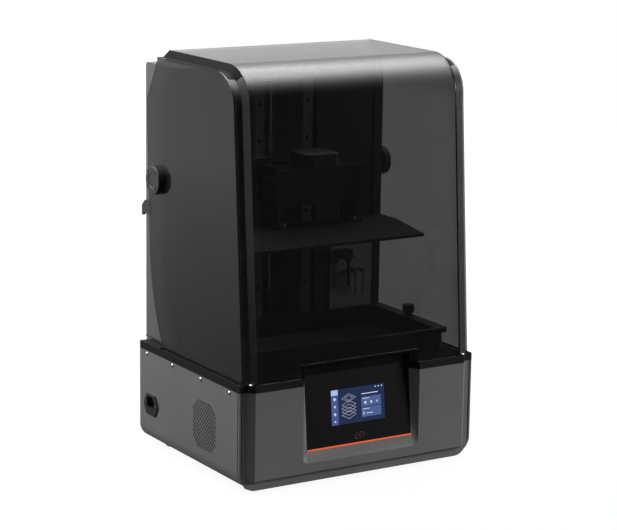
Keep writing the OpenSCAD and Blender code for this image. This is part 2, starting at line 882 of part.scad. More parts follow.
// Build plate: a flat slab with sloped shoulders
module build_plate() {
    half = plate_w / 2;
    deep = plate_d / 2;
    color("#3c3d40") translate([0, plate_y, plate_z]) difference() {
        intersection() {
            along_y(-deep, deep) polygon([
                [-half, 0], [half, 0], [half, 4], [half - 15, 19], [15 - half, 19], [-half, 4]
            ]);
            along_x(-half, half) polygon([
                [-deep, 0], [deep, 0], [deep, 4], [20, 19], [-20, 19], [-deep, 4]
            ]);
        }
        for (x = level_xs, y = [-12, 12]) rod_z(2.6, 8, 20, x, y);
    }
}

// Bracket of the platform: front slab, side webs and the tongue in the arm
module platform_bracket() {
    top = plate_z + 19;
    color("#26272a") difference() {
        union() {
            block([-slab_half, slab_y, arm_z - 1], [slab_half, slab_y + 6, arm_top + 2]);
            both_sides() block([66, slab_y + 6 - eps, top], [72, 2, arm_top - 14]);
            both_sides() block([56, slab_y + 2, top], [72, plate_y + 20, top + 5]);
            block([-50, slab_y + 6 - eps, 406], [50, -4, arm_top - 12.5]);
        }
        for (x = level_xs, y = [-12, 12]) rod_z(2.6, top - 1, top + 6, x, plate_y + y);
    }
}

// Levelling screws between the bracket and the plate
module levelling_screws() {
    top = plate_z + 19;
    color("#c9cbcd") for (x = level_xs, y = [-12, 12]) difference() {
        union() {
            rod_z(2.5, plate_z + 8, top + 5, x, plate_y + y);
            rod_z(4.2, top + 5, top + 9, x, plate_y + y);
        }
        rod_z(2, top + 7, top + 10, x, plate_y + y, $fn = 6);
    }
}

// Rectangle about the middle of the vat
module vat_outline(w, d, r) {
    translate([0, vat_y]) round_rect(w, d, r);
}

// Open metal frame of the vat with its rim and corner pads
module vat_frame() {
    color("#1c1d20") difference() {
        union() {
            translate([0, 0, vat_low]) linear_extrude(vat_top - vat_low - 1) vat_outline(vat_w - 12, vat_d - 12, 6);
            translate([0, 0, vat_top - 6.5]) linear_extrude(6.5) vat_outline(vat_w, vat_d, 8);
            for (x = [-167, 167], y = [-82, 82]) rod_z(5, deck_z + clear_gap, vat_low + 1, x, vat_y + y);
        }
        translate([0, 0, vat_low - 1]) linear_extrude(30) vat_outline(312, 168, 10);
        translate([0, 0, vat_top - 9]) linear_extrude(10) vat_outline(322, 172, 12);
        for (side = [-1, 1]) rod_z(3 + fit_gap, vat_low - 1, vat_top + 1, side * vat_screw_x, vat_y);
    }
}

// Clear release film under the vat
module vat_film() {
    color("#cfd6d8") translate([0, 0, film_z]) linear_extrude(0.5) vat_outline(322, 176, 10);
}

// Ring that stretches the film over the vat frame
module film_frame() {
    color("#2a2b2e") translate([0, 0, film_z + 0.5]) linear_extrude(vat_low - film_z - 0.5) difference() {
        vat_outline(322, 176, 10);
        vat_outline(312, 168, 10);
    }
}

// Knurled thumbscrew of the vat
module vat_screw(side) {
    color("#26272a") translate([side * vat_screw_x, vat_y, 0]) difference() {
        union() {
            rod_z(3, deck_z - 6, vat_top + 6, 0, 0);
            rod_z(5, vat_top + clear_gap, vat_top + 5 + eps, 0, 0);
            rod_z(9, vat_top + 5, vat_top + 17, 0, 0);
        }
        for (turn = [0:22.5:359]) rotate(turn) rod_z(0.9, vat_top + 6.5, vat_top + 18, 9.2, 0);
    }
}

module vat_screw_left() {
    vat_screw(-1);
}

module vat_screw_right() {
    vat_screw(1);
}

// Inward normal of the leaning hood front, in (Y, Z)
front_normal = [cos(hood_lean), -sin(hood_lean)];

// Top end of the flat hood front, inset by o
function front_top(o) = [bend_y, bend_z] - (hood_bend - o) * front_normal;

// Point of the flat hood front at height z, inset by o
function front_at(o, z) = [front_top(o)[0] - (front_top(o)[1] - z) * tan(hood_lean), z];

// Corner outside the bend of radius r, between the flat front and the flat top
module bend_corner(r) {
    centre = [bend_y, bend_z];
    difference() {
        polygon([
            centre, centre + 3 * (front_top(0) - centre), [bend_y - 200, hood_top + 100],
            [bend_y, hood_top + 100]
        ]);
        translate(centre) circle(r, $fn = 72);
    }
}

// Side outline of the hood front, bend and top, inset by o and closed at rear
module hood_section(o, low, rear) {
    difference() {
        polygon([
            front_at(o, low), front_at(o, hood_top - o), [rear, hood_top - o], [rear, low]
        ]);
        bend_corner(hood_bend - o);
    }
}

// Sheet of the hood outline between the insets o and o + t
module hood_band(o, t, rear) {
    difference() {
        hood_section(o, hood_low, rear);
        hood_section(o + t, hood_low - 1, rear + 1);
    }
}

// Bent tinted sheet over the front and top
module hood_sheet() {
    color("#141518") difference() {
        along_x(-sheet_half, sheet_half) hood_band(0, tint_t, 94);
        block([-mouth_w / 2, -180, hood_low - 1], [mouth_w / 2, -140, notch_top]);
    }
}

// Solid of the hood crown whose sides slope outwards by one ledge
module crown_wedge(o) {
    hull() {
        along_x(174, 174.1) hood_section(o, hood_low - o, 118 + o, $fn = 32);
        along_x(slope_half - 0.1, slope_half) hood_section(ledge_in + o, hood_low - o, 118 + o, $fn = 32);
    }
}

// Frames on both sides: hidden lip, sloped bead and ledge
module hood_frame() {
    color("#0e0f10") both_sides() difference() {
        union() {
            along_x(164, 174) hood_band(tint_t + 0.2, 3, 94);
            difference() {
                crown_wedge(0);
                translate([-0.5, 0, 0]) crown_wedge(tint_t);
                translate([0.5, 0, 0]) crown_wedge(tint_t);
            }
            along_x(slope_half, hood_w / 2 - tint_t) hood_band(ledge_in, 3, 118);
        }
        along_x(160, 200) polygon([[96, 606], [103.5, 594.5], [103.5, 560], [150, 560], [150, 620], [96, 620]]);
    }
}

// Finger grip let into the foot of the hood front
module hood_grip() {
    half = mouth_w / 2 - fit_gap;
    back_y = notch_y + 1;
    color("#0c0c0d") intersection() {
        along_x(-half, half) hood_section(0, hood_low, 0);
        difference() {
            translate([0, 0, grip_low]) linear_extrude(notch_top - fit_gap - grip_low) polygon([
                [-half, crown_front], [-half + 8, back_y], [half - 8, back_y], [half, crown_front]
            ]);
            translate([0, 0, grip_low - 1]) linear_extrude(notch_top - grip_low - 1.5) polygon([
                [-half + 2, crown_front - 1], [-half + 10, back_y - 2], [half - 10, back_y - 2],
                [half - 2, crown_front - 1]
            ]);
        }
    }
}

// Rear edge of the hood side from the deck up to the top
hood_rear = [
    for (t = [0:0.125:1]) curve([79.5, hood_low], [119, 232], [121.8, 315], t),
    [130.5, 531], [95.6, hood_top - ledge_in]
];

// Side panel of the hood from x0 to x1
module hood_side(x0, x1) {
    color("#17181b") along_x(x0, x1) difference() {
        difference() {
            polygon(concat(
                [front_at(ledge_in, hood_low)], hood_rear, [front_at(ledge_in, hood_top - ledge_in)]
            ));
            bend_corner(hood_bend - ledge_in);
        }
        translate([hinge_y, hinge_z]) circle(12);
        for (turn = [45:90:315]) translate([hinge_y, hinge_z]) rotate(turn) translate([16, 0]) circle(1.35);
    }
}

module hood_left_panel() {
    hood_side(-hood_w / 2, -hood_w / 2 + tint_t);
}

module hood_right_panel() {
    hood_side(hood_w / 2 - tint_t, hood_w / 2);
}

// Flanged bushes that turn on the hinge pins
module hinge_bushes() {
    inner = hood_w / 2 - tint_t;
    color("#b08d4a") both_sides() difference() {
        union() {
            rod_x(12, inner - 1.5, hood_w / 2, hinge_y, hinge_z);
            rod_x(14.4, inner - 1.5, inner, hinge_y, hinge_z);
        }
        rod_x(hinge_r + run_gap, inner - 3, hood_w / 2 + 1, hinge_y, hinge_z);
    }
}

// Round hubs outside the hinge
module hinge_hubs() {
    color("#0d0d0e") both_sides() difference() {
        translate([hood_w / 2, hinge_y, hinge_z]) rotate([0, 90, 0]) rotate_extrude() polygon([
            [0, 0], [21.5, 0], [21.5, 9.3], [20.3, 10.5], [12, 10.5], [11, 9.7], [0, 9.7]
        ]);
        rod_x(hinge_r + run_gap, hood_w / 2 - 1, 198, hinge_y, hinge_z);
        for (turn = [45:90:315]) translate([0, hinge_y, hinge_z]) rotate([turn, 0, 0]) {
            rod_x(1.35, hood_w / 2 - 1, 205, 16, 0);
            rod_x(2.7, 201.5, 205, 16, 0);
        }
    }
}

// Four screws in each hub
module hub_screws() {
    color("#55575a") both_sides() for (turn = [45:90:315])
        translate([0, hinge_y, hinge_z]) rotate([turn, 0, 0]) {
            rod_x(1.25, hood_w / 2 - tint_t - 1, 201.6, 16, 0);
            rod_x(2.5, 201.5, 203.2, 16, 0);
        }
}

base_shell();
rear_panel();
rear_screws();
front_bezel();
deck_plate();
deck_seal();
side_screws();
deck_screws();
feet();
screen_panel();
touch_screen();
accent_strip();
power_button();
power_socket();
socket_pins();
fuse_drawer();
socket_screws();
fan_nuts();
fan_housing();
fan_rotor();
power_supply();
main_board();
light_tunnel();
lens();
light_source();
mask_screen();
z_motor();
motor_coupling();
lead_screw();
screw_bearings();
tower_frame();
tower_cover();
tower_trim();
tower_panels();
refill_spout();
level_probes();
linear_rails();
rail_screws();
hinge_pins();
rear_bracket();
rail_blocks();
arm();
screw_nut();
clamp_knob();
build_plate();
platform_bracket();
levelling_screws();
vat_frame();
vat_film();
film_frame();
vat_screw_left();
vat_screw_right();
hood_sheet();
hood_frame();
hood_grip();
hood_left_panel();
hood_right_panel();
hinge_bushes();
hinge_hubs();
hub_screws();
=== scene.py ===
"""Looks of a large resin printer: finishes, small modelled pieces, studio and camera."""

import json
import math

import bpy
from bpy.props import FloatProperty, FloatVectorProperty, IntProperty, PointerProperty
from mathutils import Matrix, Vector

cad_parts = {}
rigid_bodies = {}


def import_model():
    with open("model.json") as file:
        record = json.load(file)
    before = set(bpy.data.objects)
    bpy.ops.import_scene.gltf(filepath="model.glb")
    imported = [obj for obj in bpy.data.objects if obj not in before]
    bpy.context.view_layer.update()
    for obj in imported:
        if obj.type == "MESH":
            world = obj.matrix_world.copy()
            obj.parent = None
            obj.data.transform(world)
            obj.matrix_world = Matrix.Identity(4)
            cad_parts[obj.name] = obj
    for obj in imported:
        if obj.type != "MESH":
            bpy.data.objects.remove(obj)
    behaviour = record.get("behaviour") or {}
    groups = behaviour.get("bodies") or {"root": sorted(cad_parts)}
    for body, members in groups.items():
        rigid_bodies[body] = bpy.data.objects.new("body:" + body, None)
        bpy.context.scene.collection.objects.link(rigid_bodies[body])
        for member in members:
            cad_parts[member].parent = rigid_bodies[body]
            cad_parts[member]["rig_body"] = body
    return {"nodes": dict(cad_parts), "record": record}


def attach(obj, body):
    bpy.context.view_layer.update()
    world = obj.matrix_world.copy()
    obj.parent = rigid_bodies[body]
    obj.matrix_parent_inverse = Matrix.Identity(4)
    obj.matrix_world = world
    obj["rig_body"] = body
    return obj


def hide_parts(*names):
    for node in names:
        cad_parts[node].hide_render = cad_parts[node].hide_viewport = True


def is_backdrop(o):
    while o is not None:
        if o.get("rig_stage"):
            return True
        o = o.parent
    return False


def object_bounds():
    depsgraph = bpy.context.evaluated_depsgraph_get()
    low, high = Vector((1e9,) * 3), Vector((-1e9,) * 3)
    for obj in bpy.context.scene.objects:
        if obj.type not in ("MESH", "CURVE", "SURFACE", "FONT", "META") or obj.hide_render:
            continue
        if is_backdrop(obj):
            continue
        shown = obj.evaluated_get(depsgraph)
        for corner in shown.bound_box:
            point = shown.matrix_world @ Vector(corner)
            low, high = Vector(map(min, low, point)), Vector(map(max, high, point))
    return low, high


bl_info = {
    "name": "Resin printer",
    "version": (1, 0, 0),
    "blender": (4, 5, 0),
    "location": "View3D > Sidebar > Printer",
    "description": "Dresses a resin printer and its studio",
    "category": "Object",
}

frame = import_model()
CAD_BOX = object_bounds()
MM = 0.001
NODES = frame["nodes"]

# Corners closer than this are one, and faces within this angle of each other are one flat face
WELD = 0.002 * MM
FLAT = math.radians(0.6)
# Edges sharper than this, in degrees, are broken and stay sharp in the shading
SHARP = 13


class PrinterSizes(bpy.types.PropertyGroup):
    """Sizes of the dressed pieces."""

    edge: FloatProperty(
        name="Edge round", description="Radius broken on machined and folded edges",
        default=0.4 * MM, min=0.05 * MM, max=1.5 * MM, unit="LENGTH",
    )
    glass_edge: FloatProperty(
        name="Sheet edge", description="Radius polished on the edges of the tinted sheets",
        default=0.8 * MM, min=0.1 * MM, max=1.4 * MM, unit="LENGTH",
    )
    film: FloatProperty(
        name="Picture layer", description="Thickness of each layer of the screen picture",
        default=0.06 * MM, min=0.02 * MM, max=0.2 * MM, unit="LENGTH",
    )
    thread_pitch: FloatProperty(
        name="Thread pitch", description="Distance between two turns of the lead screw thread",
        default=4.0 * MM, min=2 * MM, max=8 * MM, unit="LENGTH",
    )


class PrinterColours(bpy.types.PropertyGroup):
    """Colours of the finishes, in linear light."""

    side_paint: FloatVectorProperty(
        name="Side paint", description="Satin paint of the folded base and its front",
        subtype="COLOR", size=3, default=(0.125, 0.125, 0.128), min=0, max=1,
    )
    deck_paint: FloatVectorProperty(
        name="Deck paint", description="Matt black paint of the deck and its edge band",
        subtype="COLOR", size=3, default=(0.012, 0.012, 0.013), min=0, max=1,
    )
    tower_paint: FloatVectorProperty(
        name="Tower paint", description="Light grey paint of the tower cover",
        subtype="COLOR", size=3, default=(0.099, 0.100, 0.104), min=0, max=1,
    )
    dark_alloy: FloatVectorProperty(
        name="Dark alloy", description="Dark anodised aluminium of the arm and the vat",
        subtype="COLOR", size=3, default=(0.028, 0.029, 0.031), min=0, max=1,
    )
    black: FloatVectorProperty(
        name="Black", description="Black of the moulded and polished trim",
        subtype="COLOR", size=3, default=(0.009, 0.009, 0.0095), min=0, max=1,
    )
    panel: FloatVectorProperty(
        name="Screen panel", description="Black glass round the display",
        subtype="COLOR", size=3, default=(0.0085, 0.0085, 0.009), min=0, max=1,
    )
    tint: FloatVectorProperty(
        name="Smoked tint", description="Body colour of the smoked sheets",
        subtype="COLOR", size=3, default=(0.020, 0.020, 0.021), min=0, max=1,
    )
    accent: FloatVectorProperty(
        name="Accent", description="Orange of the line under the screen and the button mark",
        subtype="COLOR", size=3, default=(0.80, 0.13, 0.035), min=0, max=1,
    )
    picture: FloatVectorProperty(
        name="Picture ground", description="Dark blue ground of the screen picture",
        subtype="COLOR", size=3, default=(0.0165, 0.027, 0.072), min=0, max=1,
    )


class PrinterStudio(bpy.types.PropertyGroup):
    """Camera and lamps."""

    azimuth: FloatProperty(
        name="Camera azimuth", description="Turn of the camera round the printer",
        subtype="ANGLE", default=math.radians(-31.78),
    )
    elevation: FloatProperty(
        name="Camera elevation", description="Height of the camera above the horizon",
        subtype="ANGLE", default=math.radians(12.23),
    )
    roll: FloatProperty(
        name="Camera roll", description="Tilt of the camera about its own line of sight",
        subtype="ANGLE", default=math.radians(0.82),
    )
    distance: FloatProperty(
        name="Camera distance", description="From the camera to the point that it looks at",
        default=3.29264, min=1, max=10, unit="LENGTH",
    )
    target: FloatVectorProperty(
        name="Camera target", description="Point that the camera looks at",
        subtype="TRANSLATION", size=3, default=(0.01007, 0.0, 0.28342),
    )
    lens: FloatProperty(
        name="Lens", description="Focal length on a 36 mm wide frame, in millimetres",
        default=128.22, min=20, max=300,
    )
    side_power: FloatProperty(
        name="Side lamp", description="Power of the soft lamp on the left, behind the front plane",
        subtype="POWER", default=64, min=0, max=1000,
    )
    front_power: FloatProperty(
        name="Front lamp", description="Power of the soft lamp on the right of the front",
        subtype="POWER", default=141, min=0, max=1000,
    )


def sizes():
    """The sizes set in the sidebar."""
    return bpy.context.scene.printer_sizes


def colours():
    """The colours set in the sidebar."""
    return bpy.context.scene.printer_colours


def clear_selection():
    """Leaves edit mode and selects nothing."""
    if bpy.context.object and bpy.context.object.mode != "OBJECT":
        bpy.ops.object.mode_set(mode="OBJECT")
    bpy.ops.object.select_all(action="DESELECT")


def select(*objects):
    """Selects only these objects, the last one active."""
    clear_selection()
    for obj in objects:
        obj.select_set(True)
        bpy.context.view_layer.objects.active = obj


def edit(obj):
    """Opens one piece in edit mode with all of it selected."""
    select(obj)
    bpy.ops.object.mode_set(mode="EDIT")
    bpy.ops.mesh.select_all(action="SELECT")


def close(obj):
    """Merges doubles, turns the faces outwards and leaves edit mode."""
    edit(obj)
    bpy.ops.mesh.remove_doubles(threshold=0.001 * MM)
    bpy.ops.mesh.normals_make_consistent(inside=False)
    bpy.ops.object.mode_set(mode="OBJECT")


def push(step, scale=None, about=(0, 0, 0)):
    """Extrudes what is selected by a step, then widens or narrows it about a point."""
    bpy.ops.mesh.extrude_region_move(TRANSFORM_OT_translate={"value": step})
    if scale:
        bpy.ops.transform.resize(value=(scale, scale, 1), center_override=about)


def joined(pieces):
    """One object made of several, the last one's."""
    select(*pieces)
    bpy.ops.object.join()
    return bpy.context.object


def twin(obj):
    """A copy of a piece with its own mesh."""
    select(obj)
    bpy.ops.object.duplicate(linked=False)
    return bpy.context.object


def seat(obj, name, material, body):
    """Bakes a piece's place into its mesh, names it, paints it and rides it on its body."""
    select(obj)
    bpy.ops.object.transform_apply(location=True, rotation=True, scale=True)
    obj.name = name
    obj.data.materials.clear()
    obj.data.materials.append(material)
    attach(obj, body)
    return obj


def round_edges(obj, width, segments=2, angle=SHARP):
    """Bevels every edge sharper than an angle and shades the rest smooth."""
    select(obj)
    bpy.ops.object.mode_set(mode="EDIT")
    bpy.ops.mesh.select_mode(type="EDGE")
    bpy.ops.mesh.select_all(action="DESELECT")
    bpy.ops.mesh.edges_select_sharp(sharpness=math.radians(angle))
    if width > 0:
        bpy.ops.mesh.bevel(
            offset=width, segments=segments, profile=0.5, clamp_overlap=True, harden_normals=False
        )
    bpy.ops.object.mode_set(mode="OBJECT")
    bpy.ops.object.shade_smooth_by_angle(angle=math.radians(angle))
    bpy.ops.object.modifier_add(type="WEIGHTED_NORMAL")
    obj.modifiers[-1].keep_sharp = True
    bpy.ops.object.modifier_apply(modifier=obj.modifiers[-1].name)


def refined(node, width, material, segments=2):
    """Stands a copy of a CAD node, with welded faces and broken edges, in its place."""
    source = NODES[node]
    clear_selection()
    copy = bpy.data.objects.new(node + "_finished", source.data.copy())
    bpy.context.scene.collection.objects.link(copy)
    edit(copy)
    bpy.ops.mesh.remove_doubles(threshold=WELD)
    bpy.ops.mesh.customdata_custom_splitnormals_clear()
    bpy.ops.mesh.dissolve_limited(angle_limit=FLAT, delimit=set())
    bpy.ops.object.mode_set(mode="OBJECT")
    round_edges(copy, width, segments)
    copy.data.materials.clear()
    copy.data.materials.append(material)
    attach(copy, source["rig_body"])
    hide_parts(node)
    return copy


def repaint(obj, material, chosen):
    """Gives the faces that a test picks another finish."""
    obj.data.materials.append(material)
    index = len(obj.data.materials) - 1
    for face in obj.data.polygons:
        if chosen(face.center, face.normal):
            face.material_index = index


def slot_of(node):
    """The record's material slot of a CAD node."""
    return next(s["material_slot"] for s in frame["record"]["subparts"] if s["node"] == node)


def dress(node, material):
    """Paints a CAD node that keeps its own mesh."""
    mesh = NODES[node].data
    mesh.materials.clear()
    mesh.materials.append(material)


# Sockets of the mix node that belong to colours: the share, the two colours and the result
COLOUR_MIX_SOCKETS = (0, 6, 7)
COLOUR_MIX_RESULT = 2


class Weave:
    """The node tree of a finish or of the world, with helpers that add and join its nodes."""

    def __init__(self, name, world=False):
        self.owner = (bpy.data.worlds if world else bpy.data.materials).new(name)
        self.owner.use_nodes = True
        self.tree = self.owner.node_tree
        self.tree.nodes.clear()
        self.output = self.add("ShaderNodeOutputWorld" if world else "ShaderNodeOutputMaterial")
        self.place = self.add("ShaderNodeTexCoord").outputs["Generated" if world else "Object"]

    def add(self, kind, **settings):
        """A new node with its settings, each an attribute or an input socket."""
        node = self.tree.nodes.new(kind)
        for key, value in settings.items():
            if hasattr(node, key):
                setattr(node, key, value)
            else:
                node.inputs[key].default_value = value
        return node

    def join(self, start, end):
        """Links an output socket to an input socket."""
        self.tree.links.new(start, end)

    def feed(self, node, *values):
        """Fills a node's first sockets in turn, each with another socket or a number."""
        for socket, value in zip(node.inputs, values):
            if isinstance(value, (int, float)):
                socket.default_value = value
            else:
                self.join(value, socket)
        return node.outputs[0]

    def sum(self, operation, *values):
        """One arithmetic step."""
        return self.feed(self.add("ShaderNodeMath", operation=operation), *values)

    def mixed(self, share, first, second):
        """Mixes two shaders by a value."""
        return self.feed(self.add("ShaderNodeMixShader"), share, first, second)

    def stretched(self, scale):
        """Object coordinates stretched along an axis, for brushing."""
        mapping = self.add("ShaderNodeMapping", Scale=scale)
        self.join(self.place, mapping.inputs["Vector"])
        return mapping.outputs["Vector"]

    def noise(self, size, detail=2.0, rough=0.5, place=None):
        """Noise whose largest features have about this size, in metres."""
        node = self.add("ShaderNodeTexNoise", Scale=1 / size, Detail=detail, Roughness=rough)
        self.join(place or self.place, node.inputs["Vector"])
        return node.outputs["Fac"]

    def span(self, value, low, high, from_low=0.3, from_high=0.7, curve="LINEAR"):
        """A value taken from one range to another."""
        node = self.add("ShaderNodeMapRange", interpolation_type=curve)
        node.inputs["From Min"].default_value = from_low
        node.inputs["From Max"].default_value = from_high
        node.inputs["To Min"].default_value = low
        node.inputs["To Max"].default_value = high
        self.join(value, node.inputs["Value"])
        return node.outputs["Result"]

    def vary(self, shader, socket, value, low, high):
        """Lets a socket of the shader follow a value between two bounds."""
        self.join(self.span(value, low, high), shader.inputs[socket])

    def tone(self, shader, value, colour, low, high, socket="Base Color"):
        """Lets a colour of the shader follow a value between two shares of it."""
        node = self.add("ShaderNodeMix", data_type="RGBA")
        share, first, second = (node.inputs[i] for i in COLOUR_MIX_SOCKETS)
        first.default_value = (*shade(colour, low), 1)
        second.default_value = (*shade(colour, high), 1)
        self.join(self.span(value, 0, 1), share)
        self.join(node.outputs[COLOUR_MIX_RESULT], shader.inputs[socket])

    def bump(self, height, distance, strength=1.0, under=None):
        """A bump from a height map, its distance in metres."""
        node = self.add("ShaderNodeBump", Strength=strength, Distance=distance)
        self.join(height, node.inputs["Height"])
        if under:
            self.join(under, node.inputs["Normal"])
        return node.outputs["Normal"]

    def shader(self, **values):
        """The main shader with its constant values on its own sockets."""
        node = self.add("ShaderNodeBsdfPrincipled")
        for key, value in values.items():
            node.inputs[key.replace("_", " ")].default_value = value
        return node

    def show(self, surface):
        """Makes this output of a shader the look of the finish or of the world."""
        self.join(surface, self.output.inputs["Surface"])
        return self.owner


def shade(colour, amount):
    """A colour made lighter or darker by a share."""
    return tuple(min(1.0, c * amount) for c in colour)


def powder_paint(name, colour, rough=0.5, vary=0.06, ior=1.5):
    """Powder-coated sheet metal: fine orange peel, slow drift of tone and sheen."""
    grain, depth = 0.5 * MM, 0.012 * MM
    weave = Weave(name)
    paint = weave.shader(Roughness=rough, IOR=ior)
    weave.tone(paint, weave.noise(120 * MM, 3), colour, 1 - vary, 1 + vary)
    weave.vary(paint, "Roughness", weave.noise(9 * MM, 4), rough - 0.05, rough + 0.05)
    peel = weave.bump(weave.noise(grain * 4, 1), depth * 2, 0.6)
    weave.join(weave.bump(weave.noise(grain, 2), depth, 0.8, peel), paint.inputs["Normal"])
    return weave.show(paint.outputs[0])


def moulded_black(name, colour, rough=0.42, ior=1.46):
    """Injection-moulded black plastic with a fine spark-eroded grain."""
    grain = 0.35 * MM
    weave = Weave(name)
    plastic = weave.shader(Roughness=rough, IOR=ior)
    weave.tone(plastic, weave.noise(40 * MM, 3), colour, 0.85, 1.25)
    weave.vary(plastic, "Roughness", weave.noise(3 * MM, 3), rough - 0.06, rough + 0.08)
    cells = weave.add(
        "ShaderNodeTexVoronoi", feature="SMOOTH_F1", Smoothness=0.6, Scale=1 / grain
    )
    weave.join(weave.place, cells.inputs["Vector"])
    weave.join(weave.bump(cells.outputs["Distance"], 0.02 * MM, 0.7), plastic.inputs["Normal"])
    return weave.show(plastic.outputs[0])


def polished_black(name, colour, rough=0.09, haze=0.4, ior=1.49):
    """Polished black: faint waviness, dust-fine haze in the sheen."""
    weave = Weave(name)
    gloss = weave.shader(Roughness=rough, IOR=ior)
    weave.tone(gloss, weave.noise(60 * MM, 2), colour, 1 - haze / 2, 1 + haze / 2)
    dust = weave.noise(18 * MM, 5, 0.6)
    weave.vary(gloss, "Roughness", dust, rough * (1 - haze), rough * (1 + haze))
    weave.join(weave.bump(weave.noise(25 * MM, 1), 0.02 * MM, 0.35), gloss.inputs["Normal"])
    return weave.show(gloss.outputs[0])


def smoked_sheet(name, colour, cover, ior, graze):
    """Smoked acrylic: covers this share seen square on, and shuts at a slant by a power."""
    rough = 0.06
    weave = Weave(name)
    skin = weave.shader(Roughness=rough, IOR=ior)
    weave.tone(skin, weave.noise(150 * MM, 2), colour, 0.9, 1.15)
    facing = weave.add("ShaderNodeLayerWeight", Blend=0.5).outputs["Facing"]
    slant = weave.sum("POWER", facing, graze)
    body = weave.span(weave.noise(80 * MM, 2), cover - 0.01, cover + 0.01)
    shut = weave.sum("MULTIPLY_ADD", weave.sum("SUBTRACT", 1, body), slant, body)
    weave.join(shut, skin.inputs["Alpha"])
    weave.vary(skin, "Roughness", weave.noise(22 * MM, 5, 0.6), rough * 0.8, rough * 1.3)
    weave.join(weave.bump(weave.noise(160 * MM, 1), 0.25 * MM, 0.5), skin.inputs["Normal"])
    return weave.show(skin.outputs[0])


def brushed_metal(name, colour, rough=0.3):
    """Metal with fine drawn or brushed lines across one axis."""
    along, depth = (1, 1, 40), 0.006 * MM
    weave = Weave(name)
    metal = weave.shader(Roughness=rough, Metallic=1.0, IOR=1.5)
    lines = weave.noise(6 * MM, 4, 0.7, weave.stretched(along))
    weave.tone(metal, lines, colour, 0.9, 1.08)
    weave.vary(metal, "Roughness", lines, rough - 0.07, rough + 0.08)
    fine = weave.bump(weave.noise(4 * MM, 3, 0.7, weave.stretched(along)), depth, 0.8)
    weave.join(weave.bump(weave.noise(0.3 * MM, 1), depth, 0.3, fine), metal.inputs["Normal"])
    return weave.show(metal.outputs[0])


def anodised(name, colour, rough=0.36, metal=0.75, ior=1.5):
    """Bead-blasted, anodised aluminium: a tight satin grain over soft tone."""
    weave = Weave(name)
    skin = weave.shader(Roughness=rough, Metallic=metal, IOR=ior)
    weave.tone(skin, weave.noise(70 * MM, 4), colour, 0.88, 1.12)
    weave.vary(skin, "Roughness", weave.noise(2 * MM, 4), rough - 0.06, rough + 0.06)
    weave.join(weave.bump(weave.noise(0.25 * MM, 2), 0.008 * MM, 0.7), skin.inputs["Normal"])
    return weave.show(skin.outputs[0])


def clear_sheet(name, colour, cover):
    """A clear film or lens with soft haze."""
    weave = Weave(name)
    sheet = weave.shader(Roughness=0.08, IOR=1.4)
    weave.tone(sheet, weave.noise(50 * MM, 2), colour, 0.92, 1)
    weave.vary(sheet, "Alpha", weave.noise(20 * MM, 3), cover - 0.04, cover + 0.04)
    weave.vary(sheet, "Roughness", weave.noise(6 * MM, 4), 0.06, 0.14)
    weave.join(weave.bump(weave.noise(30 * MM, 2), 0.1 * MM, 0.4), sheet.inputs["Normal"])
    return weave.show(sheet.outputs[0])


def lit_layer(name, colour, glow=1.0, rough=0.22):
    """A lit area of the screen behind its glass, with a trace of pixel grain."""
    weave = Weave(name)
    layer = weave.shader(Roughness=rough, IOR=1.3, Emission_Strength=glow)
    layer.inputs["Base Color"].default_value = (*shade(colour, 0.15), 1)
    weave.tone(layer, weave.noise(0.4 * MM, 1), colour, 0.93, 1.07, socket="Emission Color")
    weave.vary(layer, "Roughness", weave.noise(7 * MM, 3), rough - 0.04, rough + 0.04)
    weave.join(weave.bump(weave.noise(0.3 * MM, 1), 0.004 * MM, 0.3), layer.inputs["Normal"])
    return weave.show(layer.outputs[0])


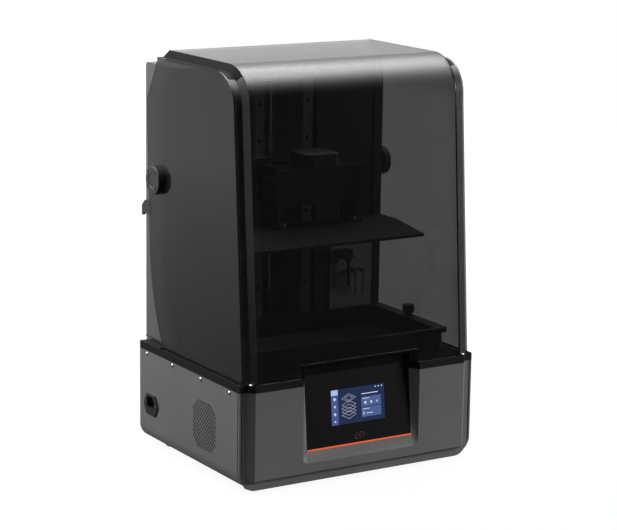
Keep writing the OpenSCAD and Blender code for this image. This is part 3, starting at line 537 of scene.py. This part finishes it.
def make_finishes():
    """Every finish by its slot name, then those that only single faces or layers have."""
    c = colours()
    return {
        "side_steel": powder_paint("side_paint", c.side_paint[:]),
        "deck_black": powder_paint("deck_paint", c.deck_paint[:], rough=0.6, vary=0.15, ior=1.15),
        "tower_grey": powder_paint("tower_paint", c.tower_paint[:], rough=0.48),
        "frame_steel": brushed_metal("plated_steel", (0.34, 0.345, 0.36), rough=0.42),
        "trim_black": moulded_black("moulded_black", c.black[:]),
        "gloss_black": polished_black("polished_black", c.black[:]),
        "tinted": smoked_sheet("smoked_sheet", c.tint[:], cover=0.3, ior=2.0, graze=2),
        "panel_black": polished_black("panel_black", c.panel[:], rough=0.3, haze=0.05, ior=1.35),
        "rubber": moulded_black("rubber_black", (0.012, 0.012, 0.012), rough=0.75),
        "steel": brushed_metal("bright_steel", (0.55, 0.555, 0.57), rough=0.28),
        "alu": anodised("dark_anodised", c.dark_alloy[:]),
        "bright_alu": brushed_metal("bright_aluminium", (0.62, 0.63, 0.645), rough=0.33),
        "brass": brushed_metal("turned_brass", (0.60, 0.43, 0.17), rough=0.27),
        "glass_dark": polished_black("mask_glass", (0.010, 0.011, 0.016), rough=0.05),
        "clear": clear_sheet("clear_film", (0.55, 0.57, 0.6), cover=0.42),
        "display": lit_layer("screen_ground", c.picture[:]),
        "orange": lit_layer("orange_line", c.accent[:], glow=0.9, rough=0.35),
        "board": powder_paint("board_resist", (0.012, 0.07, 0.032), rough=0.35, vary=0.2),
        # A more opaque copy of the smoked sheet for the side sheets: painted shade that dims what
        # is seen through them
        "tinted_side_painted_shade": smoked_sheet(
            "smoked_side_sheet_painted_shade", c.tint[:], cover=0.645, ior=1.52, graze=3
        ),
        "frame_ledge": moulded_black("frame_ledge", (0.045, 0.045, 0.047), rough=0.3),
        # Copies of the frame's black: a glossier one on its slopes as painted reflection, and a
        # darker, duller one on its upward faces as painted shade
        "frame_slope_painted_sheen": moulded_black("frame_slope_painted_sheen", (0.04, 0.04, 0.042), rough=0.14, ior=1.8),
        "frame_top_painted_shade": moulded_black("frame_top_painted_shade", (0.010, 0.010, 0.011), rough=0.4, ior=1.12),
        "bonding_strip": clear_sheet("bonding_strip", (0.2, 0.2, 0.21), cover=0.07),
        # A darker copy of the side paint: painted shade on the left wall of the recess
        "recess_wall_painted_shade": powder_paint("recess_wall_painted_shade", shade(c.side_paint[:], 0.42)),
        "plate_black": anodised(
            "plate_black", (0.010, 0.010, 0.011), rough=0.6, metal=0.0, ior=1.25
        ),
        "ground_steel": brushed_metal("ground_steel", (0.25, 0.252, 0.26), rough=0.33),
        # Pale sheet low on the tower's front; its pale colour is partly a painted reflection
        "pale_panel_and_painted_reflection": powder_paint("pale_panel_and_painted_reflection", (0.32, 0.325, 0.335), rough=0.4),
        "menu_bar": lit_layer("menu_bar", (0.066, 0.09, 0.27)),
        "menu_card": lit_layer("menu_card", (0.072, 0.11, 0.27)),
        "menu_pale": lit_layer("menu_pale", (0.5, 0.55, 0.72)),
        "menu_tab": lit_layer("menu_tab", (0.38, 0.49, 0.76)),
        "menu_bright": lit_layer("menu_bright", (0.66, 0.71, 0.84)),
        "menu_line": lit_layer("menu_line", (0.36, 0.39, 0.48)),
        "button_ring": moulded_black("button_ring", (0.075, 0.045, 0.036)),
        "button_mark": lit_layer("button_mark", shade(c.accent[:], 0.35), glow=0.8),
    }


FINISH = {}


class PRINTER_OT_finishes(bpy.types.Operator):
    """Makes the finishes and paints every CAD node with its own"""

    bl_idname = "printer.finishes"
    bl_label = "Finishes"

    def execute(self, context):
        FINISH.update(make_finishes())
        for name in NODES:
            dress(name, FINISH[slot_of(name)])
        return {"FINISHED"}


class PRINTER_OT_shells(bpy.types.Operator):
    """Breaks the edges of the folded, moulded and machined pieces"""

    bl_idname = "printer.shells"
    bl_label = "Broken edges"

    def execute(self, context):
        edge = sizes().edge
        for name, finish in (
            ("screen_panel", "panel_black"), ("power_button", "panel_black"),
            ("build_plate", "plate_black"), ("linear_rails", "ground_steel"),
        ):
            refined(name, edge, FINISH[finish])
        panels = refined("tower_panels", edge, FINISH[slot_of("tower_panels")])
        # The sheet low on the right gets the pale colour, partly a painted reflection
        repaint(panels, FINISH["pale_panel_and_painted_reflection"], self.on_pale_panel_and_painted_reflection)
        bezel = refined("front_bezel", edge, FINISH[slot_of("front_bezel")])
        # The left wall of the recess gets the darker copy of the side paint as painted shade
        repaint(bezel, FINISH["recess_wall_painted_shade"], self.in_recess_wall_painted_shade)
        for name in (
            "deck_plate", "arm", "platform_bracket", "clamp_knob", "vat_frame", "vat_screw_left",
            "vat_screw_right", "tower_cover", "tower_frame", "rail_blocks", "deck_screws",
            "hinge_hubs", "hub_screws", "refill_spout", "feet", "hood_grip", "tower_trim",
        ):
            refined(name, edge, FINISH[slot_of(name)])
        return {"FINISHED"}

    def on_pale_panel_and_painted_reflection(self, center, normal):
        """Faces of the pale sheet low on the right, which stands proud of the dark ones; its pale
        colour is partly a painted reflection.
        """
        inner_side, proud_of = 80 * MM, 63.9 * MM
        return center.x > inner_side and center.y < proud_of

    def in_recess_wall_painted_shade(self, center, normal):
        """Faces of the left wall of the recess round the screen panel, which get painted shade."""
        outer, inner = -103 * MM, -88 * MM
        return normal.x > 0.3 and outer < center.x < inner


class PRINTER_OT_hood(bpy.types.Operator):
    """Polishes the edges of the smoked hood sheets and their frame, and paints shade and reflection
    on some of their faces
    """

    bl_idname = "printer.hood"
    bl_label = "Hood"

    def execute(self, context):
        sheet_edge = sizes().glass_edge
        refined("hood_sheet", sheet_edge, FINISH["tinted"], segments=3)
        # The side sheets get the more opaque copy of the smoked sheet, as painted shade
        for name in ("hood_left_panel", "hood_right_panel"):
            refined(name, sheet_edge, FINISH["tinted_side_painted_shade"], segments=3)
        slope_foot, lip_end = 180.4 * MM, 174.02 * MM
        slope_top_rise, ledge_top_rise = 0.42, 0.8
        hoop = refined("hood_frame", sizes().edge, FINISH["frame_ledge"], segments=3)
        # The slopes get the glossier copy, a painted reflection
        repaint(hoop, FINISH["frame_slope_painted_sheen"], lambda c, n: abs(c.x) < slope_foot)
        # Faces that rise upwards get the darker, duller copy, painted shade
        repaint(
            hoop, FINISH["frame_top_painted_shade"],
            lambda c, n: n.z > (slope_top_rise if abs(c.x) < slope_foot else ledge_top_rise),
        )
        repaint(hoop, FINISH["bonding_strip"], lambda c, n: abs(c.x) < lip_end)
        return {"FINISHED"}


class PRINTER_OT_screws(bpy.types.Operator):
    """Turns one button-head screw with a round socket in its head and copies it along both sides"""

    bl_idname = "printer.screws"
    bl_label = "Side screws"

    def execute(self, context):
        spots = [v.co for v in NODES["side_screws"].data.vertices]
        head_top = max(abs(co.x) for co in spots) - 0.02 * MM
        row_step = 10 * MM
        places = {}
        for co in spots:
            if abs(co.x) > head_top:
                places.setdefault((co.x > 0, round(co.y / row_step)), []).append(co)
        screw = self.screw()
        copies = []
        for (right, _), rim in sorted(places.items()):
            middle = sum(rim, Vector()) / len(rim)
            one = twin(screw)
            turn = math.radians(90 if right else -90)
            one.matrix_world = Matrix.Translation(middle) @ Matrix.Rotation(turn, 4, "Y")
            bpy.ops.object.transform_apply(location=True, rotation=True, scale=True)
            copies.append(one)
        bpy.data.objects.remove(screw)
        row = joined(copies)
        close(row)
        round_edges(row, 0, angle=32)
        seat(row, "side_screws_turned", FINISH["steel"], "base")
        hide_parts("side_screws")
        return {"FINISHED"}

    def screw(self):
        """A screw that points along Z, the top of its head at the origin."""
        shank, head, length, under_head = 1.5, 3.08, 7, 5.5
        crown = ((0.42, 0.99), (0.36, 0.94), (0.3, 0.9), (0.24, 0.85), (0.12, 0.8))
        hexagon_socket = ((0, 0.72), (-0.95, 0.98))
        clear_selection()
        bpy.ops.mesh.primitive_circle_add(
            vertices=30, radius=shank * MM, location=(0, 0, -length * MM), fill_type="NGON"
        )
        screw = bpy.context.object
        bpy.ops.object.transform_apply(location=True)
        edit(screw)
        push((0, 0, under_head * MM))
        for rise, scale in ((0, head / shank), *crown, *hexagon_socket):
            push((0, 0, rise * MM), scale)
        bpy.ops.object.mode_set(mode="OBJECT")
        return screw


class PRINTER_OT_lead_screw(bpy.types.Operator):
    """Winds the two-start thread of the lead screw and gives it plain ends"""

    bl_idname = "printer.lead_screw"
    bl_label = "Lead screw"

    def execute(self, context):
        node = NODES["lead_screw"]
        xs, ys, zs = zip(*(v.co for v in node.data.vertices))
        axis = Vector(((min(xs) + max(xs)) / 2, (min(ys) + max(ys)) / 2, 0))
        crest = (max(xs) - min(xs)) / 2 - 0.02 * MM
        root = crest - 0.9 * MM
        low, high = min(zs), max(zs)
        plain_low, plain_high, overlap = 12 * MM, 10 * MM, 0.05 * MM
        thread = self.thread(axis, root, crest, low + plain_low, high - plain_high)
        rod = self.rod(axis, root + overlap, low, high)
        whole = joined([thread, rod])
        bpy.ops.object.shade_smooth_by_angle(angle=math.radians(28))
        seat(
            whole, "lead_screw_wound", FINISH["steel"], node["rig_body"]
        )
        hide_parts("lead_screw")
        return {"FINISHED"}

    def thread(self, axis, root, crest, low, high):
        """The thread between two heights, wound from the outlines of its two teeth."""
        pitch, starts = sizes().thread_pitch, 2
        depth, lead = crest - root, starts * pitch
        tooth = ((0, 0.22), (depth, 0.2), (0, 0.26), (-depth, 0.32))
        clear_selection()
        bpy.ops.mesh.primitive_plane_add(size=1 * MM, location=(0, 0, 0))
        obj = bpy.context.object
        edit(obj)
        bpy.ops.mesh.merge(type="CENTER")
        bpy.ops.transform.translate(value=(root, 0, 0))
        for out, rise in tooth * starts:
            push((out, 0, rise * pitch))
        bpy.ops.object.mode_set(mode="OBJECT")
        bpy.ops.object.modifier_add(type="SCREW")
        wind = obj.modifiers[-1]
        wind.axis = "Z"
        wind.screw_offset = lead
        wind.iterations = math.ceil((high - low) / lead) + 2
        wind.steps = wind.render_steps = 14
        wind.use_merge_vertices = False
        bpy.ops.object.modifier_apply(modifier=wind.name)
        obj.location = axis + Vector((0, 0, low - lead))
        bpy.ops.object.transform_apply(location=True)
        edit(obj)
        bpy.ops.mesh.remove_doubles(threshold=0.005 * MM)
        for height, side in ((low, {"clear_inner": True}), (high, {"clear_outer": True})):
            bpy.ops.mesh.select_all(action="SELECT")
            bpy.ops.mesh.bisect(
                plane_co=(0, 0, height), plane_no=(0, 0, 1), use_fill=True, **side
            )
        bpy.ops.object.mode_set(mode="OBJECT")
        close(obj)
        return obj

    def rod(self, axis, radius, low, high):
        """The plain core with chamfered ends."""
        chamfer = 0.6 * MM
        clear_selection()
        bpy.ops.mesh.primitive_circle_add(
            vertices=32, radius=radius - chamfer, location=axis + Vector((0, 0, low)),
            fill_type="NGON",
        )
        obj = bpy.context.object
        bpy.ops.object.transform_apply(location=True)
        edit(obj)
        wide = radius / (radius - chamfer)
        push((0, 0, chamfer), wide, axis)
        push((0, 0, high - low - 2 * chamfer))
        push((0, 0, chamfer), 1 / wide, axis)
        bpy.ops.object.mode_set(mode="OBJECT")
        close(obj)
        return obj


class PRINTER_OT_tower_foot(bpy.types.Operator):
    """Lays a thin black ring under the tower as a painted shadow line, and closes its overhang
    behind the deck
    """

    bl_idname = "printer.tower_foot"
    bl_label = "Tower foot"

    def execute(self, context):
        xs, ys, zs = zip(*(v.co for v in NODES["tower_cover"].data.vertices))
        half, front, rear, foot = max(xs), min(ys), max(ys), min(zs)
        deck_rear = max(v.co.y for v in NODES["deck_plate"].data.vertices)
        self.shadow_line_ring(half, front, rear, foot)
        self.skirt(half, deck_rear, rear, foot)
        return {"FINISHED"}

    def shadow_line_ring(self, half, front, rear, foot):
        """A thin black ring under the tower, a little proud of it all round, that stands in for the
        shadow line at its foot.
        """
        proud, wide, thick, gap = 0.6 * MM, 2.6 * MM, 2.1 * MM, 0.05 * MM
        ring = self.slab(half + 0.7 * MM, front - proud, rear + proud, foot + gap)
        edit(ring)
        bpy.ops.mesh.inset(thickness=wide)
        bpy.ops.mesh.delete(type="FACE")
        bpy.ops.mesh.select_all(action="SELECT")
        push((0, 0, thick))
        bpy.ops.object.mode_set(mode="OBJECT")
        close(ring)
        round_edges(ring, 0.3 * MM, angle=40)
        seat(ring, "tower_shadow_line_ring", FINISH["rubber"], "base")

    def skirt(self, half, deck_rear, rear, foot):
        """The block that fills the overhang between the deck and the back of the tower."""
        gap, drop, tall = 0.5 * MM, 7 * MM, 6.9 * MM
        block = self.slab(half, deck_rear + gap, rear, foot - drop)
        edit(block)
        push((0, 0, tall))
        bpy.ops.object.mode_set(mode="OBJECT")
        close(block)
        round_edges(block, 1.2 * MM, segments=3, angle=40)
        seat(block, "tower_skirt", FINISH["tower_grey"], "base")

    def slab(self, half, front, rear, height):
        """A level rectangle, from front to rear at a height."""
        clear_selection()
        bpy.ops.mesh.primitive_plane_add(size=1, location=(0, (front + rear) / 2, height))
        slab = bpy.context.object
        slab.scale = (2 * half, rear - front, 1)
        bpy.ops.object.transform_apply(location=True, rotation=True, scale=True)
        return slab


def front_plane(node):
    """Middle, half width, half height, up and outward directions of a node's front face."""
    mesh = NODES[node].data
    faces = [f for f in mesh.polygons if f.normal.y < -0.9]
    foremost = max(f.center.dot(f.normal) for f in faces)
    faces = [f for f in faces if f.center.dot(f.normal) > foremost - 0.02 * MM]
    out = faces[0].normal.copy()
    up = Vector((0, out.z, -out.y))
    spots = [mesh.vertices[i].co for f in faces for i in f.vertices]
    heights = [p.dot(up) for p in spots]
    widths = [p.x for p in spots]
    depth = spots[0].dot(out)
    middle = up * (max(heights) + min(heights)) / 2 + out * depth
    middle.x = (max(widths) + min(widths)) / 2
    return middle, (max(widths) - min(widths)) / 2, (max(heights) - min(heights)) / 2, up, out


class Picture:
    """Thin layers laid on the front face of a node, placed by shares of its width and height."""

    def __init__(self, node, body):
        self.middle, self.half_w, self.half_h, self.up, self.out = front_plane(node)
        self.body = body

    def lay(self, obj, name, across, height, level, material):
        """Stands a flat piece drawn in X and Y on the face, a number of layers up."""
        right = Vector((1, 0, 0))
        place = (
            self.middle + right * (2 * across - 1) * self.half_w
            + self.up * (2 * height - 1) * self.half_h + self.out * level * sizes().film
        )
        obj.matrix_world = Matrix(
            [(right[i], self.up[i], self.out[i], place[i]) for i in range(3)] + [(0, 0, 0, 1)]
        )
        return seat(obj, name, material, self.body)


def plate(width, height, corner):
    """A flat sheet of film with rounded corners, drawn in X and Y."""
    clear_selection()
    bpy.ops.mesh.primitive_plane_add(size=1)
    obj = bpy.context.object
    edit(obj)
    bpy.ops.transform.resize(value=(width, height, 1))
    bpy.ops.mesh.bevel(offset=corner, segments=4, affect="VERTICES")
    bpy.ops.mesh.select_all(action="SELECT")
    thicken()
    return obj


def thicken():
    """Gives the selected faces the thickness of one layer."""
    push((0, 0, sizes().film))
    bpy.ops.mesh.select_all(action="SELECT")
    bpy.ops.mesh.normals_make_consistent(inside=False)
    bpy.ops.object.mode_set(mode="OBJECT")


def sign(sides, radius, turn=0.0, line=0.0, flat=1.0):
    """A flat sign: a disc or polygon, or its outline when a line width is given."""
    clear_selection()
    bpy.ops.mesh.primitive_circle_add(
        vertices=sides, radius=radius, fill_type="NGON", rotation=(0, 0, turn)
    )
    obj = bpy.context.object
    bpy.ops.object.transform_apply(location=False, rotation=True, scale=False)
    edit(obj)
    bpy.ops.transform.resize(value=(1, flat, 1))
    if line > 0:
        bpy.ops.mesh.inset(thickness=line)
        bpy.ops.mesh.delete(type="FACE")
        bpy.ops.mesh.select_all(action="SELECT")
    thicken()
    return obj


class PRINTER_OT_display(bpy.types.Operator):
    """Lays the lit picture on the touch screen: menu bar, cards, signs and a layer motif"""

    bl_idname = "printer.display"
    bl_label = "Screen picture"

    def execute(self, context):
        picture = Picture("touch_screen", "base")
        wide, high = 2 * picture.half_w, 2 * picture.half_h
        self.menu(picture, wide, high)
        self.cards(picture, wide, high)
        self.motif(picture)
        self.button()
        return {"FINISHED"}

    def menu(self, picture, wide, high):
        """The bar down the left side with its tab and four signs."""
        middle, share, corner = 0.0635, 0.125, 0.1 * MM
        bar = plate(share * wide, 0.998 * high, corner)
        picture.lay(bar, "menu_bar", middle, 0.5, 0, FINISH["menu_bar"])
        tab = plate(share * wide, 0.15 * high, corner)
        picture.lay(tab, "menu_tab", middle, 0.924, 1, FINISH["menu_tab"])
        for name, sides, turn, height in (
            ("menu_sign_drop", 24, 0, 0.74), ("menu_sign_layers", 4, 0.785, 0.525),
            ("menu_sign_tool", 6, 0, 0.31), ("menu_sign_more", 3, 1.571, 0.10),
        ):
            figure = sign(sides, 2.3 * MM, turn)
            picture.lay(figure, name, middle, height, 1, FINISH["menu_pale"])

    def cards(self, picture, wide, high):
        """The title, the two cards with their signs and the dots of the status line."""
        card, pale, bright = FINISH["menu_card"], FINISH["menu_pale"], FINISH["menu_bright"]
        for name, height in (("card_upper", 0.557), ("card_lower", 0.258)):
            sheet = plate(0.37 * wide, 0.275 * high, 0.8 * MM)
            picture.lay(sheet, name, 0.745, height, 0, card)
        for name, across, height, length, finish in (
            ("bar_title", 0.72, 0.785, 0.31, bright), ("bar_upper", 0.645, 0.645, 0.13, pale),
            ("bar_lower", 0.645, 0.345, 0.13, pale), ("bar_value", 0.71, 0.215, 0.13, pale),
        ):
            stroke = plate(length * wide, 1.1 * MM, 0.5 * MM)
            picture.lay(stroke, name, across, height, 1, finish)
        for name, sides, turn, across in (
            ("card_sign_left", 24, 0, 0.635), ("card_sign_middle", 6, 0.524, 0.745),
            ("card_sign_right", 3, 1.571, 0.855),
        ):
            picture.lay(sign(sides, 2.2 * MM, turn), name, across, 0.525, 1, pale)
        gauge = plate(1.3 * MM, 4.6 * MM, 0.6 * MM)
        picture.lay(gauge, "card_gauge", 0.60, 0.225, 1, bright)
        dot = sign(16, 1.0 * MM)
        for name, across in (("status_left", 0.83), ("status_middle", 0.89)):
            picture.lay(twin(dot), name, across, 0.945, 1, bright)
        picture.lay(dot, "status_right", 0.95, 0.945, 1, bright)

    def motif(self, picture):
        """Four stacked layers and the finished one above them, in outline."""
        middle, top, stroke, flat = 0.325, 0.73, 0.5 * MM, 0.5
        line = FINISH["menu_line"]
        slab = sign(4, 12.6 * MM, 0, 0.55 * MM, flat)
        for name, height in (
            ("motif_low", 0.25), ("motif_second", 0.345), ("motif_third", 0.44),
            ("motif_fourth", 0.535),
        ):
            picture.lay(twin(slab), name, middle, height, 0, line)
        picture.lay(slab, "motif_top", middle, top, 0, line)
        picture.lay(sign(4, 7.5 * MM, 0, stroke, flat), "motif_core", middle, top, 0, line)

    def button(self):
        """The ring and the lit stroke on the power button."""
        mark = Picture("power_button", "power_button")
        ring = sign(32, mark.half_h * 0.97, 0, 0.6 * MM)
        edit(ring)
        bpy.ops.transform.resize(value=(mark.half_w / mark.half_h, 1, 1))
        bpy.ops.object.mode_set(mode="OBJECT")
        mark.lay(ring, "button_ring", 0.5, 0.5, 0, FINISH["button_ring"])
        stroke = plate(4.2 * MM, 1.1 * MM, 0.5 * MM)
        mark.lay(stroke, "button_mark", 0.5, 0.5, 0, FINISH["button_mark"])


class PRINTER_OT_stage(bpy.types.Operator):
    """Sets the floor, the lamps, the world and the camera"""

    bl_idname = "printer.stage"
    bl_label = "Studio and camera"

    def execute(self, context):
        scene = context.scene
        scene.view_settings.view_transform = "Standard"
        self.floor()
        self.world(scene)
        self.lamps(scene)
        self.camera(scene)
        return {"FINISHED"}

    def floor(self):
        """A pale floor that fades to white with distance; in reflections it is a dimmer painted
        glow, darker near the printer as painted shade.
        """
        size, middle, below = 5, 2.15, 0.4 * MM
        clear_selection()
        bpy.ops.mesh.primitive_plane_add(size=size, location=(0, middle, -below))
        floor = bpy.context.object
        floor.name = "studio_floor"
        weave = Weave("pale_floor")
        matt = weave.shader(Roughness=0.9, IOR=1.4)
        pale, slightly_darker = (0.62, 0.62, 0.62), 0.6 / 0.62
        weave.tone(matt, weave.noise(0.8, 2), pale, slightly_darker, 1)
        away = weave.add("ShaderNodeVectorMath", operation="DISTANCE")
        weave.join(weave.place, away.inputs[0])
        away.inputs[1].default_value = (0, -middle, 0)
        far = away.outputs["Value"]
        path = weave.add("ShaderNodeLightPath")
        white = weave.add("ShaderNodeEmission", Strength=1.18)
        fade = weave.span(far, 0.78, 1.0, from_low=0.7, from_high=1.8)
        share = weave.sum("MULTIPLY", self.seen(weave, path), fade)
        matt_or_white = weave.mixed(share, matt.outputs[0], white.outputs[0])
        side = weave.add("ShaderNodeSeparateXYZ")
        weave.join(weave.place, side.inputs[0])
        # In reflections the floor glows: darker near the printer as painted shade, and dark in
        # front of it
        brighter_away = weave.span(far, 0.235, 0.72, from_low=0.6, from_high=2.8)
        dark_in_front = weave.span(side.outputs["Y"], 0, 1, from_low=-2.35, from_high=-1.75)
        mirrored = weave.add("ShaderNodeEmission")
        level = weave.sum("MULTIPLY", brighter_away, dark_in_front)
        weave.join(level, mirrored.inputs["Strength"])
        gloss = path.outputs["Is Glossy Ray"]
        floor.data.materials.append(
            weave.show(weave.mixed(gloss, matt_or_white, mirrored.outputs[0]))
        )
        floor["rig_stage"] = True

    def seen(self, weave, path):
        """1 where the camera looks, also through a clear sheet, and 0 for all other light."""
        return weave.sum(
            "MAXIMUM", path.outputs["Is Camera Ray"], path.outputs["Is Transmission Ray"]
        )

    def world(self, scene):
        """White to the camera; for light and reflections, a bright back and a strip above."""
        weave = Weave("soft_studio", world=True)
        split = weave.add("ShaderNodeSeparateXYZ")
        weave.join(weave.place, split.inputs[0])
        back = weave.span(split.outputs["Y"], 0, 0.8, -0.45, 0.45, curve="SMOOTHSTEP")
        level = weave.sum("ADD", self.overhead(weave), back)
        path = weave.add("ShaderNodeLightPath")
        less_as_light = weave.span(path.outputs["Is Glossy Ray"], 0.12, 1, 0, 1)
        soft = weave.add("ShaderNodeBackground")
        soft.inputs["Color"].default_value = (1, 1, 1, 1)
        weave.join(weave.sum("MULTIPLY", level, less_as_light), soft.inputs["Strength"])
        white = weave.add("ShaderNodeBackground")
        white.inputs["Color"].default_value = (1, 1, 1, 1)
        scene.world = weave.show(
            weave.mixed(self.seen(weave, path), soft.outputs[0], white.outputs[0])
        )

    def overhead(self, weave):
        """Strength of a soft strip light above the printer, by direction."""
        strip_direction = (0, 0.139, 0.990)
        along = weave.add("ShaderNodeVectorMath", operation="DOT_PRODUCT")
        weave.join(weave.place, along.inputs[0])
        along.inputs[1].default_value = strip_direction
        near = weave.span(along.outputs["Value"], 0, 1, from_low=0.15, from_high=0.84)
        core, halo = (
            weave.sum("MULTIPLY", weave.sum("POWER", near, power), strength)
            for power, strength in ((6, 5.0), (2.5, 1.6))
        )
        return weave.sum("ADD", core, halo)

    def lamps(self, scene):
        """Two soft lamps that face the middle of the printer."""
        studio, aim = scene.printer_studio, Vector((0, 0, 0.25))
        for name, place, size, power in (
            ("side_lamp", (-2.2, 1.9, 1.3), 1.2, studio.side_power),
            ("front_lamp", (3.5, -1.95, 0.97), 1.17, studio.front_power),
        ):
            lamp = bpy.data.lights.new(name, "AREA")
            lamp.energy = power
            lamp.size = size
            obj = bpy.data.objects.new(name, lamp)
            scene.collection.objects.link(obj)
            obj.location = place
            obj.rotation_euler = (aim - Vector(place)).to_track_quat("-Z", "Y").to_euler()
            obj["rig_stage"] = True

    def camera(self, scene):
        """A camera that turns, rises and rolls about the point that it looks at."""
        studio = scene.printer_studio
        az, el, roll = studio.azimuth, studio.elevation, studio.roll
        back = Vector((math.sin(az) * math.cos(el), -math.cos(az) * math.cos(el), math.sin(el)))
        right = Vector((math.cos(az), math.sin(az), 0))
        up = back.cross(right)
        across = right * math.cos(roll) + up * math.sin(roll)
        upright = up * math.cos(roll) - right * math.sin(roll)
        data = bpy.data.cameras.new("camera")
        data.lens = studio.lens
        data.sensor_width = 36
        data.sensor_fit = "HORIZONTAL"
        data.clip_start = 0.05
        camera = bpy.data.objects.new("camera", data)
        scene.collection.objects.link(camera)
        place = Vector(studio.target) + back * studio.distance
        camera.matrix_world = Matrix(
            (
                (across.x, upright.x, back.x, place.x),
                (across.y, upright.y, back.y, place.y),
                (across.z, upright.z, back.z, place.z),
                (0, 0, 0, 1),
            )
        )
        scene.camera = camera


class PRINTER_PT_panel(bpy.types.Panel):
    """Sidebar panel of the printer's pieces"""

    bl_idname = "PRINTER_PT_panel"
    bl_label = "Resin printer"
    bl_space_type = "VIEW_3D"
    bl_region_type = "UI"
    bl_category = "Printer"

    def draw(self, context):
        column = self.layout.column()
        for group in (
            context.scene.printer_sizes, context.scene.printer_colours, context.scene.printer_studio
        ):
            for name in group.__annotations__:
                column.prop(group, name)
        for operator in OPERATORS:
            column.operator(operator.bl_idname)


OPERATORS = (
    PRINTER_OT_finishes,
    PRINTER_OT_shells,
    PRINTER_OT_hood,
    PRINTER_OT_screws,
    PRINTER_OT_lead_screw,
    PRINTER_OT_tower_foot,
    PRINTER_OT_display,
    PRINTER_OT_stage,
)
GROUPS = {
    "printer_sizes": PrinterSizes,
    "printer_colours": PrinterColours,
    "printer_studio": PrinterStudio,
}


def register():
    for group in GROUPS.values():
        bpy.utils.register_class(group)
    for operator in OPERATORS:
        bpy.utils.register_class(operator)
    bpy.utils.register_class(PRINTER_PT_panel)
    for name, group in GROUPS.items():
        setattr(bpy.types.Scene, name, PointerProperty(type=group))


def unregister():
    for name in GROUPS:
        delattr(bpy.types.Scene, name)
    bpy.utils.unregister_class(PRINTER_PT_panel)
    for operator in reversed(OPERATORS):
        bpy.utils.unregister_class(operator)
    for group in reversed(list(GROUPS.values())):
        bpy.utils.unregister_class(group)


def main():
    register()
    for operator in OPERATORS:
        family, name = operator.bl_idname.split(".")
        getattr(getattr(bpy.ops, family), name)()
    {"cad": plain(CAD_BOX), "dressed": plain(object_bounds())}


def plain(value):
    """Bounds as plain lists of numbers."""
    if isinstance(value, (int, float)):
        return float(value)
    return [plain(v) for v in value]


if __name__ == "__main__":
    main()
